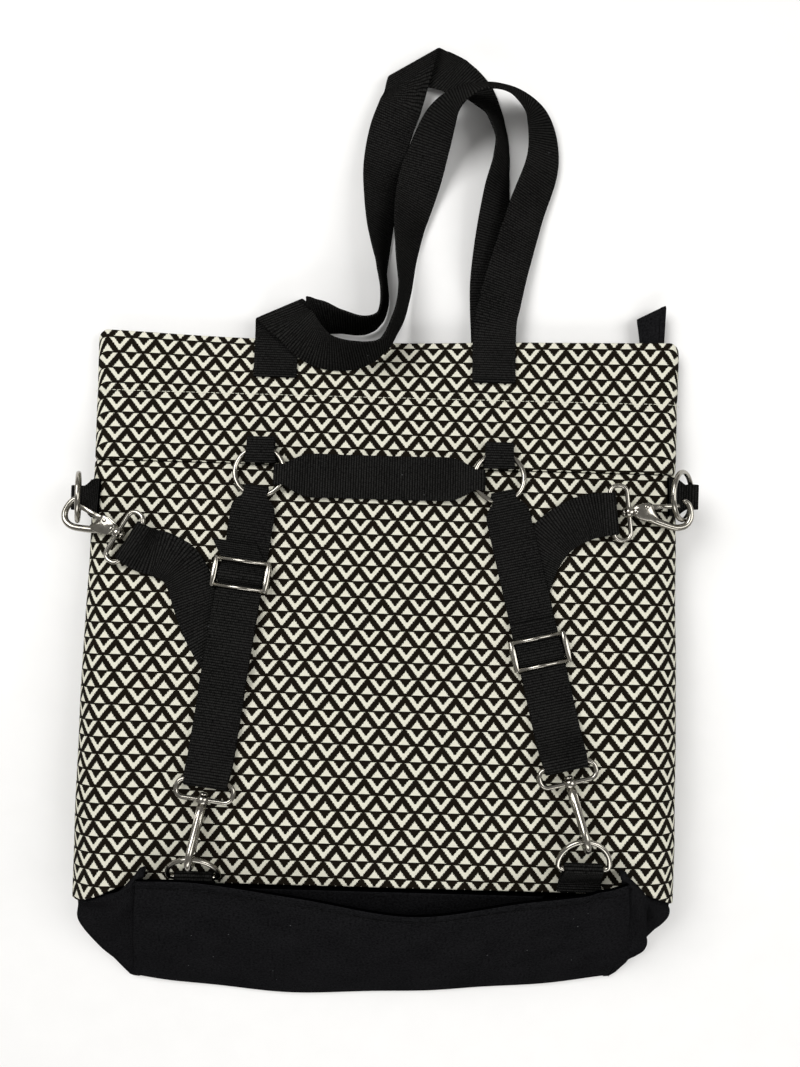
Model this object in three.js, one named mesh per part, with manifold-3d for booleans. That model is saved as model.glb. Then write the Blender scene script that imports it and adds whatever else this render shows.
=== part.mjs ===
// Tote backpack lying on its front. Millimetres: X across, Y from base to mouth, Z up from the floor.
import * as THREE from "three";
import { mergeVertices } from "three/addons/utils/BufferGeometryUtils.js";
import Module from "manifold-3d";

const wasm = await Module();
wasm.setup();

// Driving sizes
const HALF_WIDTH = 215;
const MOUTH_Y = 193;
const CROSS_SEAM_Y = 97.5;
const WALL = 2;
const GAP = 0.4;
const SEAM_GAP = 1.5;
const WEB = 32;
const THICK = 1.6;
const RING = { radius: 17.75, wire: 1.75 };
const SIDE_RING = { radius: 17, wire: 1.75 };
const D_RING = { half: 17.2, corner: 3.4, wire: 1.7, tilt: { left: 36, right: 14 } };
const LOOP = { far: 12.1, half: 19.6, corner: 5.4, wire: 1.6 };

// Heights of webbing and wire above the cloth they lie on
const LIFT = { under: 1.3, second: 3.3, wire: 4.35, over: 7.4 };

// Back panel: height of its flat part along Y
const BACK = [
  { y: 193, h: 14 },
  { y: 150, h: 19 },
  { y: 97.5, h: 27 },
  { y: 33, h: 37 },
  { y: -40, h: 49 },
  { y: -115, h: 57 },
  { y: -160, h: 60 },
  { y: -240, h: 60 },
];
// How far the cloth's lower edge drops towards each side
const DROP = [
  { x: 150, left: 0, right: 0 },
  { x: 175, left: 5, right: 0 },
  { x: 190, left: 12, right: 1 },
  { x: 205, left: 18, right: 8 },
  { x: 215, left: 21, right: 15 },
];
// Lift of the front panel where the front handle is sewn under it
const FRONT_LIFT = [
  { y: 193, lift: 2.2 },
  { y: 158, lift: 2.2 },
  { y: 125, lift: 0 },
  { y: -240, lift: 0 },
];
// Folded base: its raised lip and its edge on the floor
const LIP = [
  { x: -157, y: -187, z: 75 },
  { x: -120, y: -186, z: 77 },
  { x: -49, y: -196, z: 74 },
  { x: 29, y: -208, z: 70 },
  { x: 101, y: -195, z: 74 },
  { x: 149, y: -187, z: 76 },
  { x: 171, y: -181, z: 74 },
];
const TOE = [
  { x: -178, y: -288, z: 5 },
  { x: -140, y: -293, z: 4 },
  { x: -60, y: -299, z: 3 },
  { x: 20, y: -296, z: 3 },
  { x: 90, y: -291, z: 3 },
  { x: 140, y: -285, z: 4 },
  { x: 178, y: -279, z: 5 },
];
// Gussets of the base: upper edge and floor edge, from the bottom panel to the side seam
const GUSSET = {
  left: [
    { tx: -161.5, ty: -191, tz: 72, fx: -181.5, fy: -287.5, fz: 5 },
    { tx: -175, ty: -203, tz: 64.5, fx: -192, fy: -277.5, fz: 4 },
    { tx: -192, ty: -210.5, tz: 56, fx: -204, fy: -266, fz: 5 },
    { tx: -206, ty: -215.5, tz: 45, fx: -211.5, fy: -252, fz: 10 },
    { tx: -213.6, ty: -216.5, tz: 31, fx: -214.8, fy: -232, fz: 22 },
  ],
  right: [
    { tx: 174.5, ty: -183.5, tz: 71.5, fx: 182, fy: -279, fz: 4 },
    { tx: 183, ty: -190, tz: 66.5, fx: 193, fy: -270, fz: 2.6 },
    { tx: 193, ty: -200.5, tz: 57, fx: 204, fy: -258, fz: 2.6 },
    { tx: 206, ty: -206, tz: 45, fx: 211, fy: -243, fz: 4 },
    { tx: 213.6, ty: -212, tz: 31, fx: 214.4, fy: -222, fz: 20 },
  ],
};

// Small helpers
const vec = (x, y, z) => new THREE.Vector3(x, y, z);
const radians = THREE.MathUtils.degToRad;
const mix = THREE.MathUtils.lerp;
const clamp = THREE.MathUtils.clamp;

// Straight interpolation of one column of a table along its key column
function column(table, key, name, at) {
  const up = table[0][key] < table[table.length - 1][key];
  const rows = up ? table : [...table].reverse();
  if (at <= rows[0][key]) return rows[0][name];
  for (let i = 1; i < rows.length; i++) {
    const low = rows[i - 1];
    const high = rows[i];
    if (at <= high[key]) {
      return mix(low[name], high[name], (at - low[key]) / (high[key] - low[key]));
    }
  }
  return rows[rows.length - 1][name];
}

// Closed body from points and faces, turned so that its faces point out
function body(points, faces) {
  let volume = 0;
  for (const [a, b, c] of faces) {
    volume += points[a].dot(vec(0, 0, 0).crossVectors(points[b], points[c]));
  }
  const turned = volume < 0 ? faces.map(([a, b, c]) => [a, c, b]) : faces;
  const geometry = new THREE.BufferGeometry();
  const flat = points.flatMap((p) => [p.x, p.y, p.z]);
  geometry.setAttribute("position", new THREE.Float32BufferAttribute(flat, 3));
  geometry.setIndex(turned.flat());
  geometry.computeVertexNormals();
  return geometry;
}

// Sheet of cloth: a grid of points thickened to one side by the wall
function sheet(grid, wall) {
  const rows = grid.length;
  const cols = grid[0].length;
  const under = grid.map((row, j) =>
    row.map((p, i) => {
      const along = vec(0, 0, 0).subVectors(row[Math.min(i + 1, cols - 1)], row[Math.max(i - 1, 0)]);
      const down = vec(0, 0, 0).subVectors(
        grid[Math.min(j + 1, rows - 1)][i],
        grid[Math.max(j - 1, 0)][i],
      );
      return p.clone().addScaledVector(along.cross(down).normalize(), wall);
    }),
  );
  const points = [...grid.flat(), ...under.flat()];
  const top = (j, i) => j * cols + i;
  const low = (j, i) => rows * cols + j * cols + i;
  const faces = [];
  const quad = (a, b, c, d) => faces.push([a, b, c], [a, c, d]);
  for (let j = 0; j + 1 < rows; j++) {
    for (let i = 0; i + 1 < cols; i++) {
      quad(top(j, i), top(j, i + 1), top(j + 1, i + 1), top(j + 1, i));
      quad(low(j, i), low(j + 1, i), low(j + 1, i + 1), low(j, i + 1));
    }
  }
  for (let i = 0; i + 1 < cols; i++) {
    quad(top(0, i), low(0, i), low(0, i + 1), top(0, i + 1));
    quad(top(rows - 1, i), top(rows - 1, i + 1), low(rows - 1, i + 1), low(rows - 1, i));
  }
  for (let j = 0; j + 1 < rows; j++) {
    quad(top(j, 0), top(j + 1, 0), low(j + 1, 0), low(j, 0));
    quad(top(j, cols - 1), low(j, cols - 1), low(j + 1, cols - 1), top(j + 1, cols - 1));
  }
  return body(points, faces);
}

// Flat strap between two edge lines, thickened evenly
function ribbon(left, right, thick) {
  const points = [];
  const faces = [];
  const count = left.length;
  const middle = left.map((p, k) => vec(0, 0, 0).lerpVectors(p, right[k], 0.5));
  for (let k = 0; k < count; k++) {
    const run = vec(0, 0, 0).subVectors(middle[Math.min(k + 1, count - 1)], middle[Math.max(k - 1, 0)]);
    const across = vec(0, 0, 0).subVectors(right[k], left[k]);
    const up = across.cross(run).normalize().multiplyScalar(thick / 2);
    points.push(left[k].clone().add(up), right[k].clone().add(up));
    points.push(right[k].clone().sub(up), left[k].clone().sub(up));
  }
  const quad = (a, b, c, d) => faces.push([a, b, c], [a, c, d]);
  for (let k = 0; k + 1 < count; k++) {
    for (let side = 0; side < 4; side++) {
      const next = (side + 1) % 4;
      quad(4 * k + side, 4 * k + next, 4 * k + 4 + next, 4 * k + 4 + side);
    }
  }
  const end = 4 * (count - 1);
  quad(3, 2, 1, 0);
  quad(end, end + 1, end + 2, end + 3);
  return body(points, faces);
}

// Round wire along a path that lies in the local XY plane
function wire(path, radius, closed, sides = 6) {
  const points = [];
  const faces = [];
  const count = path.length;
  const wrap = (k) => (closed ? (k + count) % count : clamp(k, 0, count - 1));
  for (let k = 0; k < count; k++) {
    const run = vec(0, 0, 0).subVectors(path[wrap(k + 1)], path[wrap(k - 1)]).normalize();
    const out = vec(run.y, -run.x, 0);
    for (let s = 0; s < sides; s++) {
      const turn = (2 * Math.PI * (s + 0.5)) / sides;
      const p = path[k].clone().addScaledVector(out, radius * Math.cos(turn));
      points.push(p.add(vec(0, 0, radius * Math.sin(turn))));
    }
  }
  const spans = closed ? count : count - 1;
  for (let k = 0; k < spans; k++) {
    const a = k * sides;
    const b = wrap(k + 1) * sides;
    for (let s = 0; s < sides; s++) {
      const t = (s + 1) % sides;
      faces.push([a + s, a + t, b + t], [a + s, b + t, b + s]);
    }
  }
  if (!closed) {
    const end = (count - 1) * sides;
    for (let s = 1; s + 1 < sides; s++) {
      faces.push([0, s + 1, s], [end, end + s, end + s + 1]);
    }
  }
  return body(points, faces);
}

// Joining and cutting of closed bodies
function toSolid(geometry) {
  const bare = geometry.clone();
  bare.deleteAttribute("normal");
  bare.deleteAttribute("uv");
  const merged = mergeVertices(bare, 1e-4);
  const mesh = new wasm.Mesh({
    numProp: 3,
    vertProperties: merged.attributes.position.array,
    triVerts: new Uint32Array(merged.index.array),
  });
  return new wasm.Manifold(mesh);
}
function toGeometry(solid) {
  const mesh = solid.getMesh();
  const geometry = new THREE.BufferGeometry();
  geometry.setAttribute("position", new THREE.BufferAttribute(mesh.vertProperties, 3));
  geometry.setIndex(new THREE.BufferAttribute(mesh.triVerts, 1));
  geometry.computeVertexNormals();
  return geometry;
}
const joined = (...parts) => toGeometry(parts.map(toSolid).reduce((a, b) => a.add(b)));
const cut = (base, ...tools) => {
  return toGeometry(tools.map(toSolid).reduce((a, b) => a.subtract(b), toSolid(base)));
};
const block = (x0, x1, y0, y1, z0, z1) => {
  const geometry = new THREE.BoxGeometry(x1 - x0, y1 - y0, z1 - z0);
  return geometry.translate((x0 + x1) / 2, (y0 + y1) / 2, (z0 + z1) / 2);
};
// Round bar along local X, Y or Z between two places
function bar(axis, from, to, radius, sides, at = vec(0, 0, 0)) {
  const geometry = new THREE.CylinderGeometry(radius, radius, to - from, sides);
  geometry.translate(0, (from + to) / 2, 0);
  if (axis === "x") geometry.rotateZ(-Math.PI / 2);
  if (axis === "z") geometry.rotateX(Math.PI / 2);
  return geometry.translate(at.x, at.y, at.z);
}
// Plate of a plan outline, centred on local Z
function plate(outline, thick) {
  const shape = new THREE.Shape(outline.map(([x, y]) => new THREE.Vector2(x, y)));
  const geometry = new THREE.ExtrudeGeometry(shape, { depth: thick, bevelEnabled: false });
  return geometry.translate(0, 0, -thick / 2);
}
// Placement whose local X runs along one direction and local Y leans to another
function placed(origin, xDir, yDir) {
  const x = xDir.clone().normalize();
  const z = vec(0, 0, 0).crossVectors(x, yDir).normalize();
  const y = vec(0, 0, 0).crossVectors(z, x);
  return new THREE.Matrix4().makeBasis(x, y, z).setPosition(origin);
}

// Materials and the group
const MATERIALS = {
  jacquard: new THREE.MeshStandardMaterial({ color: 0xb8b09c, roughness: 0.85 }),
  canvas: new THREE.MeshStandardMaterial({ color: 0x1b1b20, roughness: 0.9 }),
  webbing: new THREE.MeshStandardMaterial({ color: 0x151414, roughness: 0.8 }),
  nickel: new THREE.MeshStandardMaterial({ color: 0xd8d4ca, roughness: 0.2, metalness: 1 }),
};
const group = new THREE.Group();
function add(name, geometry, material) {
  const mesh = new THREE.Mesh(geometry, MATERIALS[material]);
  mesh.name = name;
  group.add(mesh);
}

// Cloth body
const EDGE_SHARE = 0.7;
const backHeight = (y) => column(BACK, "y", "h", y);
const sideSteps = (count) => Array.from({ length: count + 1 }, (_, i) => (2 * i) / count - 1);

function backPoint(u, rowY) {
  const height = backHeight(rowY);
  const rise = height / 2;
  const reach = 1.1 * rise;
  const turn = (clamp((Math.abs(u) - EDGE_SHARE) / (1 - EDGE_SHARE), 0, 1) * Math.PI) / 2;
  const flat = (HALF_WIDTH - reach) * Math.min(1, Math.abs(u) / EDGE_SHARE);
  const x = flat + reach * Math.sin(turn);
  const late = clamp((-140 - rowY) / 53, 0, 1);
  const y = rowY - late * column(DROP, "x", u < 0 ? "left" : "right", x);
  return vec(Math.sign(u) * x, y, height / 2 + rise * Math.cos(turn));
}

// The front's lower edge drops less, so that it meets the back at the side
const FRONT_DROP = 2 / 3;
function frontPoint(u, rowY) {
  const lift = column(FRONT_LIFT, "y", "lift", rowY);
  const rise = backHeight(rowY) / 2 - SEAM_GAP - lift;
  const turn = (clamp((Math.abs(u) - EDGE_SHARE) / (1 - EDGE_SHARE), 0, 1) * Math.PI) / 2;
  const flat = (HALF_WIDTH - rise) * Math.min(1, Math.abs(u) / EDGE_SHARE);
  const x = flat + rise * Math.sin(turn);
  const late = clamp((-140 - rowY) / 60, 0, 1);
  const y = rowY - FRONT_DROP * late * column(DROP, "x", u < 0 ? "left" : "right", x);
  return vec(Math.sign(u) * x, y, lift + rise * (1 - Math.cos(turn)));
}

const UPPER_ROWS = [MOUTH_Y, 171, 150, 124, CROSS_SEAM_Y + GAP];
const LOWER_ROWS = [CROSS_SEAM_Y - GAP, 65, 33, -4, -40, -78, -115, -140, -160, -178, -193];
const FRONT_ROWS = [MOUTH_Y, 158, 125, 60, 0, -60, -115, -140, -170, -200];
const grid = (rows, columns, point) => rows.map((y) => sideSteps(columns).map((u) => point(u, y)));
add("back_upper", sheet(grid(UPPER_ROWS, 20, backPoint), WALL), "jacquard");
add("back_lower", sheet(grid(LOWER_ROWS, 20, backPoint), WALL), "jacquard");
add("front_panel", sheet(grid(FRONT_ROWS, 20, frontPoint), -WALL), "jacquard");

// Folded canvas base
const line = (table) => new THREE.CatmullRomCurve3(table.map((p) => vec(p.x, p.y, p.z)));
const lip = line(LIP);
const toe = line(TOE);
const steps = (count) => Array.from({ length: count + 1 }, (_, i) => i / count);

const BOTTOM_BULGE = 4;
const bottomGrid = steps(6).map((v) =>
  steps(16).map((t) => {
    const p = vec(0, 0, 0).lerpVectors(lip.getPoint(t), toe.getPoint(t), v);
    const swell = BOTTOM_BULGE * Math.sin(Math.PI * v);
    return p.add(vec(0, -0.55 * swell, 0.83 * swell));
  }),
);
add("base_bottom", sheet(bottomGrid, WALL), "canvas");

// The strip behind the lip goes down into a valley and turns back up under the lip
const STRIP_START = { y: -196.6, z: 59.4 };
const STRIP = [
  { share: 0, y: -20, z: -24 },
  { share: 0.5, y: -20, z: -24 },
  { share: 1, y: -20, z: -24 },
  { share: 1, y: -22.5, z: -21.5 },
  { share: 1, y: -16, z: -17 },
  { share: 1, y: -11, z: -14 },
];
const stripGrid = STRIP.map((row) =>
  steps(14).map((t) => {
    const edge = lip.getPoint(mix(0.04, 0.83, t));
    const y = mix(STRIP_START.y, edge.y + row.y, row.share);
    const z = mix(STRIP_START.z, edge.z + row.z, row.share);
    return vec(edge.x, y, z);
  }),
);
add("base_back", sheet(stripGrid, WALL), "canvas");

const GUSSET_SWELL = 3;
function gusset(table, side) {
  const top = line(table.map((g) => ({ x: g.tx, y: g.ty, z: g.tz })));
  const low = line(table.map((g) => ({ x: g.fx, y: g.fy, z: g.fz })));
  const cells = steps(6).map((v) =>
    steps(8).map((t) => {
      const swell = GUSSET_SWELL * Math.sin(Math.PI * v) * Math.sin(Math.PI * t);
      const out = vec(0.6 * side * swell, -0.6 * swell, 0.5 * swell);
      return top.getPoint(t).lerp(low.getPoint(t), v).add(out);
    }),
  );
  return sheet(cells, side * WALL);
}
add("base_side_left", gusset(GUSSET.left, -1), "canvas");
add("base_side_right", gusset(GUSSET.right, 1), "canvas");

const FLOOR_HALF = [
  { y: -200, half: 213 },
  { y: -214, half: 210 },
  { y: -225, half: 207 },
  { y: -245, half: 203 },
  { y: -258, half: 194 },
  { y: -270, half: 184 },
  { y: -290, half: 168 },
];
const frontBase = steps(6).map((v) =>
  sideSteps(20).map((u) => {
    const start = frontPoint(u, -200).add(vec(0, -5 * GAP, 0));
    const endY = column(TOE, "x", "y", 170 * u) + 5;
    const y = mix(start.y, endY, v);
    const half = column(FLOOR_HALF, "y", "half", y);
    const x = clamp(mix(start.x, u * half, Math.min(1, 3 * v)), -half, half);
    return vec(x, y, start.z * (1 - v) ** 3);
  }),
);
add("base_front", sheet(frontBase, -WALL), "canvas");

// Handles: a patch, a fold, the loop's stations and the other patch. A station has the webbing's centre
// and a lean, which lifts the edge on the left of its run.
const PATCH = { left: -83, right: 78, end: 162 };
const BACK_LOOP = [
  { x: -68, y: 199, z: 24.5, lean: 10 },
  { x: -57, y: 187, z: 27, lean: 30 },
  { x: -42, y: 178.5, z: 30, lean: 52 },
  { x: -22, y: 177, z: 32.5, lean: 66 },
  { x: -5, y: 183, z: 33, lean: 84 },
  { x: 5, y: 202, z: 30, lean: 82 },
  { x: 10, y: 226, z: 20, lean: 76 },
  { x: 11, y: 258, z: 16.5, lean: 60 },
  { x: 13, y: 282, z: 14, lean: 43 },
  { x: 18, y: 307, z: 10, lean: 18 },
  { x: 25, y: 333, z: 11, lean: -14 },
  { x: 38, y: 361, z: 24, lean: -38 },
  { x: 58, y: 372, z: 32, lean: -55 },
  { x: 82, y: 374, z: 27, lean: -54 },
  { x: 104, y: 361, z: 18, lean: -43 },
  { x: 111, y: 332, z: 13, lean: -36 },
  { x: 99, y: 290, z: 12, lean: -28 },
  { x: 87, y: 246, z: 13.7, lean: -18 },
  { x: 79, y: 212, z: 15.5, lean: -4 },
];
const FRONT_RISE = [
  { x: -62, y: 208.5, z: 7.4, lean: 6 },
  { x: -50, y: 208, z: 15, lean: 56 },
  { x: -36, y: 204.5, z: 17.5, lean: 72 },
  { x: -19, y: 202, z: 17.5, lean: 80 },
  { x: -8, y: 207, z: 17.5, lean: 88 },
  { x: -4, y: 222, z: 17, lean: 82 },
  { x: -7, y: 246, z: 16.4, lean: 78 },
  { x: -9, y: 272, z: 14.6, lean: 58 },
  { x: -9, y: 299, z: 12.5, lean: 40 },
  { x: -8, y: 321, z: 10.5, lean: 26 },
  { x: -3, y: 349, z: 9.5, lean: 11 },
  { x: 3.6, y: 368.5, z: 9.5, lean: 3 },
];
const FRONT_FALL = [
  { x: 43, y: 395.8, z: 4.4, lean: -8 },
  { x: 51.5, y: 389.6, z: 5.8, lean: -15 },
  { x: 59.5, y: 382, z: 8, lean: -25 },
  { x: 67, y: 371, z: 12, lean: -42 },
  { x: 74.5, y: 358, z: 15, lean: -58 },
  { x: 80, y: 338.5, z: 16, lean: -66 },
  { x: 79.5, y: 322.5, z: 15.5, lean: -62 },
  { x: 77.5, y: 305, z: 13.6, lean: -50 },
  { x: 76, y: 283, z: 11.2, lean: -38 },
  { x: 74.5, y: 258, z: 8.8, lean: -28 },
  { x: 74.5, y: 238, z: 5.8, lean: -16 },
  { x: 76, y: 219, z: 3.2, lean: -6 },
];
const FOLDS = {
  back: { x: PATCH.left, y: 207.6, z: 15.4, crease: 23, heading: 90, radius: 2.8, way: 1, after: 6 },
  front: { x: PATCH.left, y: 213.4, z: 1, crease: 24.5, heading: 90, radius: 2.6, way: 1, after: 6 },
  top: { x: 11.5, y: 398.4, z: 9.4, crease: 31, heading: 78, radius: 3.2, way: -1, after: 1.5 },
};
// Edge pairs along a run of stations
function runStations(rows, perSpan = 3) {
  const curve = new THREE.CatmullRomCurve3(rows.map((r) => vec(r.x, r.y, r.z)));
  const spans = rows.length - 1;
  return Array.from({ length: spans * perSpan + 1 }, (_, k) => {
    const at = k / perSpan;
    const low = Math.min(Math.floor(at), spans - 1);
    const lean = radians(mix(rows[low].lean, rows[low + 1].lean, at - low));
    const run = curve.getTangent(at / spans);
    const left = vec(-run.y, run.x, 0).normalize();
    const up = vec(0, 0, 0).crossVectors(run, left);
    const across = left.multiplyScalar(Math.cos(lean)).addScaledVector(up, Math.sin(lean));
    const p = curve.getPoint(at / spans);
    return [p.clone().addScaledVector(across, WEB / 2), p.addScaledVector(across, -WEB / 2)];
  });
}
// Edge pairs of webbing that turns half round a crease, lying flat on both sides of it
function foldStations({ x, y, z, crease, heading, radius, way, after }) {
  const along = vec(Math.cos(radians(crease)), Math.sin(radians(crease)), 0);
  const ahead = vec(-along.y, along.x, 0);
  const run = vec(Math.cos(radians(heading)), Math.sin(radians(heading)), 0);
  const left = vec(-run.y, run.x, 0);
  const half = Math.PI * radius;
  const turning = [0, 1, 2, 3, 4, 5, 6].map((k) => (half * k) / 6);
  const places = [-6, -2, ...turning, half + after / 3, half + after];
  return places.map((m) => {
    const turn = clamp(m / radius, 0, Math.PI);
    const beyond = Math.min(m, 0) - Math.max(m - half, 0);
    const edges = [WEB / 2, -WEB / 2].map((w) => {
      const s = (m - w * left.dot(ahead)) / run.dot(ahead);
      const p = vec(x, y, z).addScaledVector(along, s * run.dot(along) + w * left.dot(along));
      p.addScaledVector(ahead, radius * Math.sin(turn) + beyond);
      p.z += way * radius * (1 - Math.cos(turn));
      return p;
    });
    return edges;
  });
}
// Edge pairs of a flat patch sewn to the bag, from its sewn end to the mouth or back
function patchStations(x, heights, leaving) {
  const rows = heights.map(([y, z]) => [vec(x - WEB / 2, y, z), vec(x + WEB / 2, y, z)]);
  return leaving ? rows : rows.reverse().map(([a, b]) => [b, a]);
}
const swapped = (pairs) => pairs.map(([a, b]) => [b, a]);
const webbing = (pairs) => ribbon(pairs.map((p) => p[0]), pairs.map((p) => p[1]), THICK);
const onBack = (y) => [y, backHeight(y) + LIFT.under + 0.2];
const BACK_PATCH = [onBack(PATCH.end), onBack(180), onBack(MOUTH_Y - 1)];
const FRONT_PATCH = [[PATCH.end, 1], [180, 1], [MOUTH_Y + 2, 1]];
const backHandle = [
  ...patchStations(PATCH.left, BACK_PATCH, true),
  ...foldStations(FOLDS.back),
  ...swapped([...runStations(BACK_LOOP), ...patchStations(PATCH.right, BACK_PATCH, false)]),
];
const frontHandle = [
  ...patchStations(PATCH.left, FRONT_PATCH, true),
  ...foldStations(FOLDS.front),
  ...swapped([...runStations(FRONT_RISE), ...foldStations(FOLDS.top)]),
  ...runStations(FRONT_FALL),
  ...patchStations(PATCH.right, FRONT_PATCH, false),
];
add("handle_back", webbing(backHandle), "webbing");
add("handle_front", webbing(frontHandle), "webbing");

// Zip's free end, sewn inside the mouth at the right corner
const ZIP_TAB = [
  [188, 182],
  [204.5, 182],
  [204.5, 197],
  [205.5, 224],
  [185.5, 213.5],
  [188, 197],
];
add("zip_end_tab", plate(ZIP_TAB, 2.4).translate(0, 0, 7.4), "webbing");

// Strap laid along a plan line: rows give the distance along it, the lift, the width and a sideways shift;
// a level row keeps both edges at one height
function lap(plan, rows, surface = backHeight) {
  const curve = new THREE.CatmullRomCurve3(plan.map(([x, y]) => vec(x, y, 0)));
  const length = curve.getLength();
  const left = [];
  const right = [];
  for (const row of rows) {
    const share = clamp(row.s / length, 0, 1);
    const run = curve.getTangentAt(share);
    const beyond = row.s - share * length;
    const side = vec(run.y, -run.x, 0);
    const p = curve.getPointAt(share).addScaledVector(run, beyond);
    p.addScaledVector(side, row.shift ?? 0);
    const half = (row.width ?? WEB) / 2;
    for (const [edge, reach] of [[left, -half], [right, half]]) {
      const q = p.clone().addScaledVector(side, reach);
      q.z = surface(row.level ? p.y : q.y) + row.lift;
      edge.push(q);
    }
  }
  return ribbon(left, right, THICK);
}
// Half turn of a strap round a wire, from below it to above it
function turnRows(low, high, reach, width, level = false) {
  const middle = (low + high) / 2;
  const radius = (high - low) / 2;
  return [-60, -30, 0, 30, 60].map((deg) => ({
    s: -(reach - radius) - radius * Math.cos(radians(deg)),
    lift: middle + radius * Math.sin(radians(deg)),
    width,
    level,
  }));
}

// Ring tabs, rings and yoke
const RINGS = { left: vec(-90, 91, 0), right: vec(82.5, 91.5, 0) };
const SLOPE = Math.atan((37 - 27) / (97.5 - 33));
const circle = (radius, count) =>
  Array.from({ length: count }, (_, k) => {
    const turn = (2 * Math.PI * k) / count;
    return vec(radius * Math.cos(turn), radius * Math.sin(turn), 0);
  });
for (const side of ["left", "right"]) {
  const centre = RINGS[side];
  const height = backHeight(centre.y) + LIFT.wire;
  const ring = wire(circle(RING.radius, 20), RING.wire, true).rotateX(-SLOPE);
  add(`ring_${side}`, ring.translate(centre.x, centre.y, height), "nickel");
  const rows = [
    { s: 17.8, lift: LIFT.under, width: 23 },
    { s: 12, lift: LIFT.under, width: 22 },
    { s: 6, lift: LIFT.under, width: 20 },
    ...turnRows(LIFT.under, LIFT.over, 0.4, 20),
    { s: 6, lift: LIFT.over, width: 20 },
    { s: 11, lift: LIFT.over, width: 21 },
    { s: 16.4, lift: 4.6, width: 22.6 },
    { s: 17.8, lift: LIFT.second, width: 23 },
  ];
  const fold = centre.y + RING.radius + 7;
  add(`ring_tab_${side}`, lap([[centre.x, fold], [centre.x, fold - 20]], rows), "webbing");
}

const YOKE = { y: 89.4, back: 30, end: 15.4 };
const yokeFrom = RINGS.left.x + RING.radius;
const yokeSpan = RINGS.right.x - RING.radius - yokeFrom;
const yokeEnd = [
  { s: YOKE.back, lift: LIFT.under, width: 31 },
  { s: 18, lift: LIFT.under, width: 31 },
  { s: 8, lift: LIFT.under, width: 24 },
  { s: 0, lift: LIFT.under, width: YOKE.end },
  ...turnRows(LIFT.under, LIFT.over, 7, YOKE.end),
  { s: 0, lift: LIFT.over, width: YOKE.end },
  { s: 5, lift: LIFT.over, width: 21.5 },
  { s: 14, lift: 4.4, width: 30 },
  { s: 20, lift: LIFT.second, width: WEB },
  { s: 31, lift: LIFT.second, width: WEB },
  { s: 40, lift: LIFT.under, width: WEB },
];
const yokeRows = [
  ...yokeEnd,
  ...[...yokeEnd].reverse().map((row) => ({ ...row, s: yokeSpan - row.s })),
];
add("yoke_strap", lap([[yokeFrom, YOKE.y], [yokeFrom + yokeSpan, YOKE.y]], yokeRows), "webbing");

// Snap hook in its own frame: X along the swivel, Y towards the gate, Z across the plate
const PIVOT = vec(12.3, 2.5, 0);
const HOOK_PLATE = [
  [4, -3.4],
  [4, 3.4],
  [9, 5],
  [12.3, 5.4],
  [15.6, 5],
  [17.2, 2],
  [18, -2],
  [20, -7],
  [15, -8],
];
const BOW = [
  [8, -3],
  [15, -6.5],
  [24, -11],
  [33, -14.2],
  [39, -13.2],
  [42.6, -9],
  [43.4, -3],
  [42, 2.4],
  [38.8, 4.9],
];
const GATE = [
  [12.3, 0.6],
  [36.5, -0.2],
  [36.5, 2.2],
  [12.3, 4.4],
];
function hookBody() {
  const bow = new THREE.CatmullRomCurve3(BOW.map(([x, y]) => vec(x, y, 0))).getPoints(12);
  const stud = bar("x", -4.6, 6, 1.8, 8);
  const head = bar("x", -4.8, -3, 3, 8);
  const slot = block(8.6, 24, -1.4, 9, -1.6, 1.6);
  const cheeks = cut(plate(HOOK_PLATE, 5.2), slot);
  const pin = bar("z", -2.6, 2.6, 1.1, 8, PIVOT);
  return joined(cheeks, wire(bow, 2.05, false), stud, head, pin);
}
function hookLoop() {
  const path = [];
  const inner = LOOP.half - LOOP.corner;
  const corners = [
    { x: -LOOP.corner, y: inner, from: 0 },
    { x: -LOOP.far + LOOP.corner, y: inner, from: 90 },
    { x: -LOOP.far + LOOP.corner, y: -inner, from: 180 },
    { x: -LOOP.corner, y: -inner, from: 270 },
  ];
  for (const c of corners) {
    for (const deg of [0, 30, 60, 90]) {
      const turn = radians(c.from + deg);
      path.push(vec(c.x + LOOP.corner * Math.cos(turn), c.y + LOOP.corner * Math.sin(turn), 0));
    }
  }
  const boss = bar("x", -2.4, 2.4, 4, 10);
  return cut(joined(wire(path, LOOP.wire, true), boss), bar("x", -3, 3, 2.25, 8));
}
function hookGate() {
  const heel = bar("z", -1.2, 1.2, 2.4, 10, PIVOT);
  return cut(joined(heel, plate(GATE, 2.4)), bar("z", -2, 2, 1.5, 8, PIVOT));
}

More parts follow.
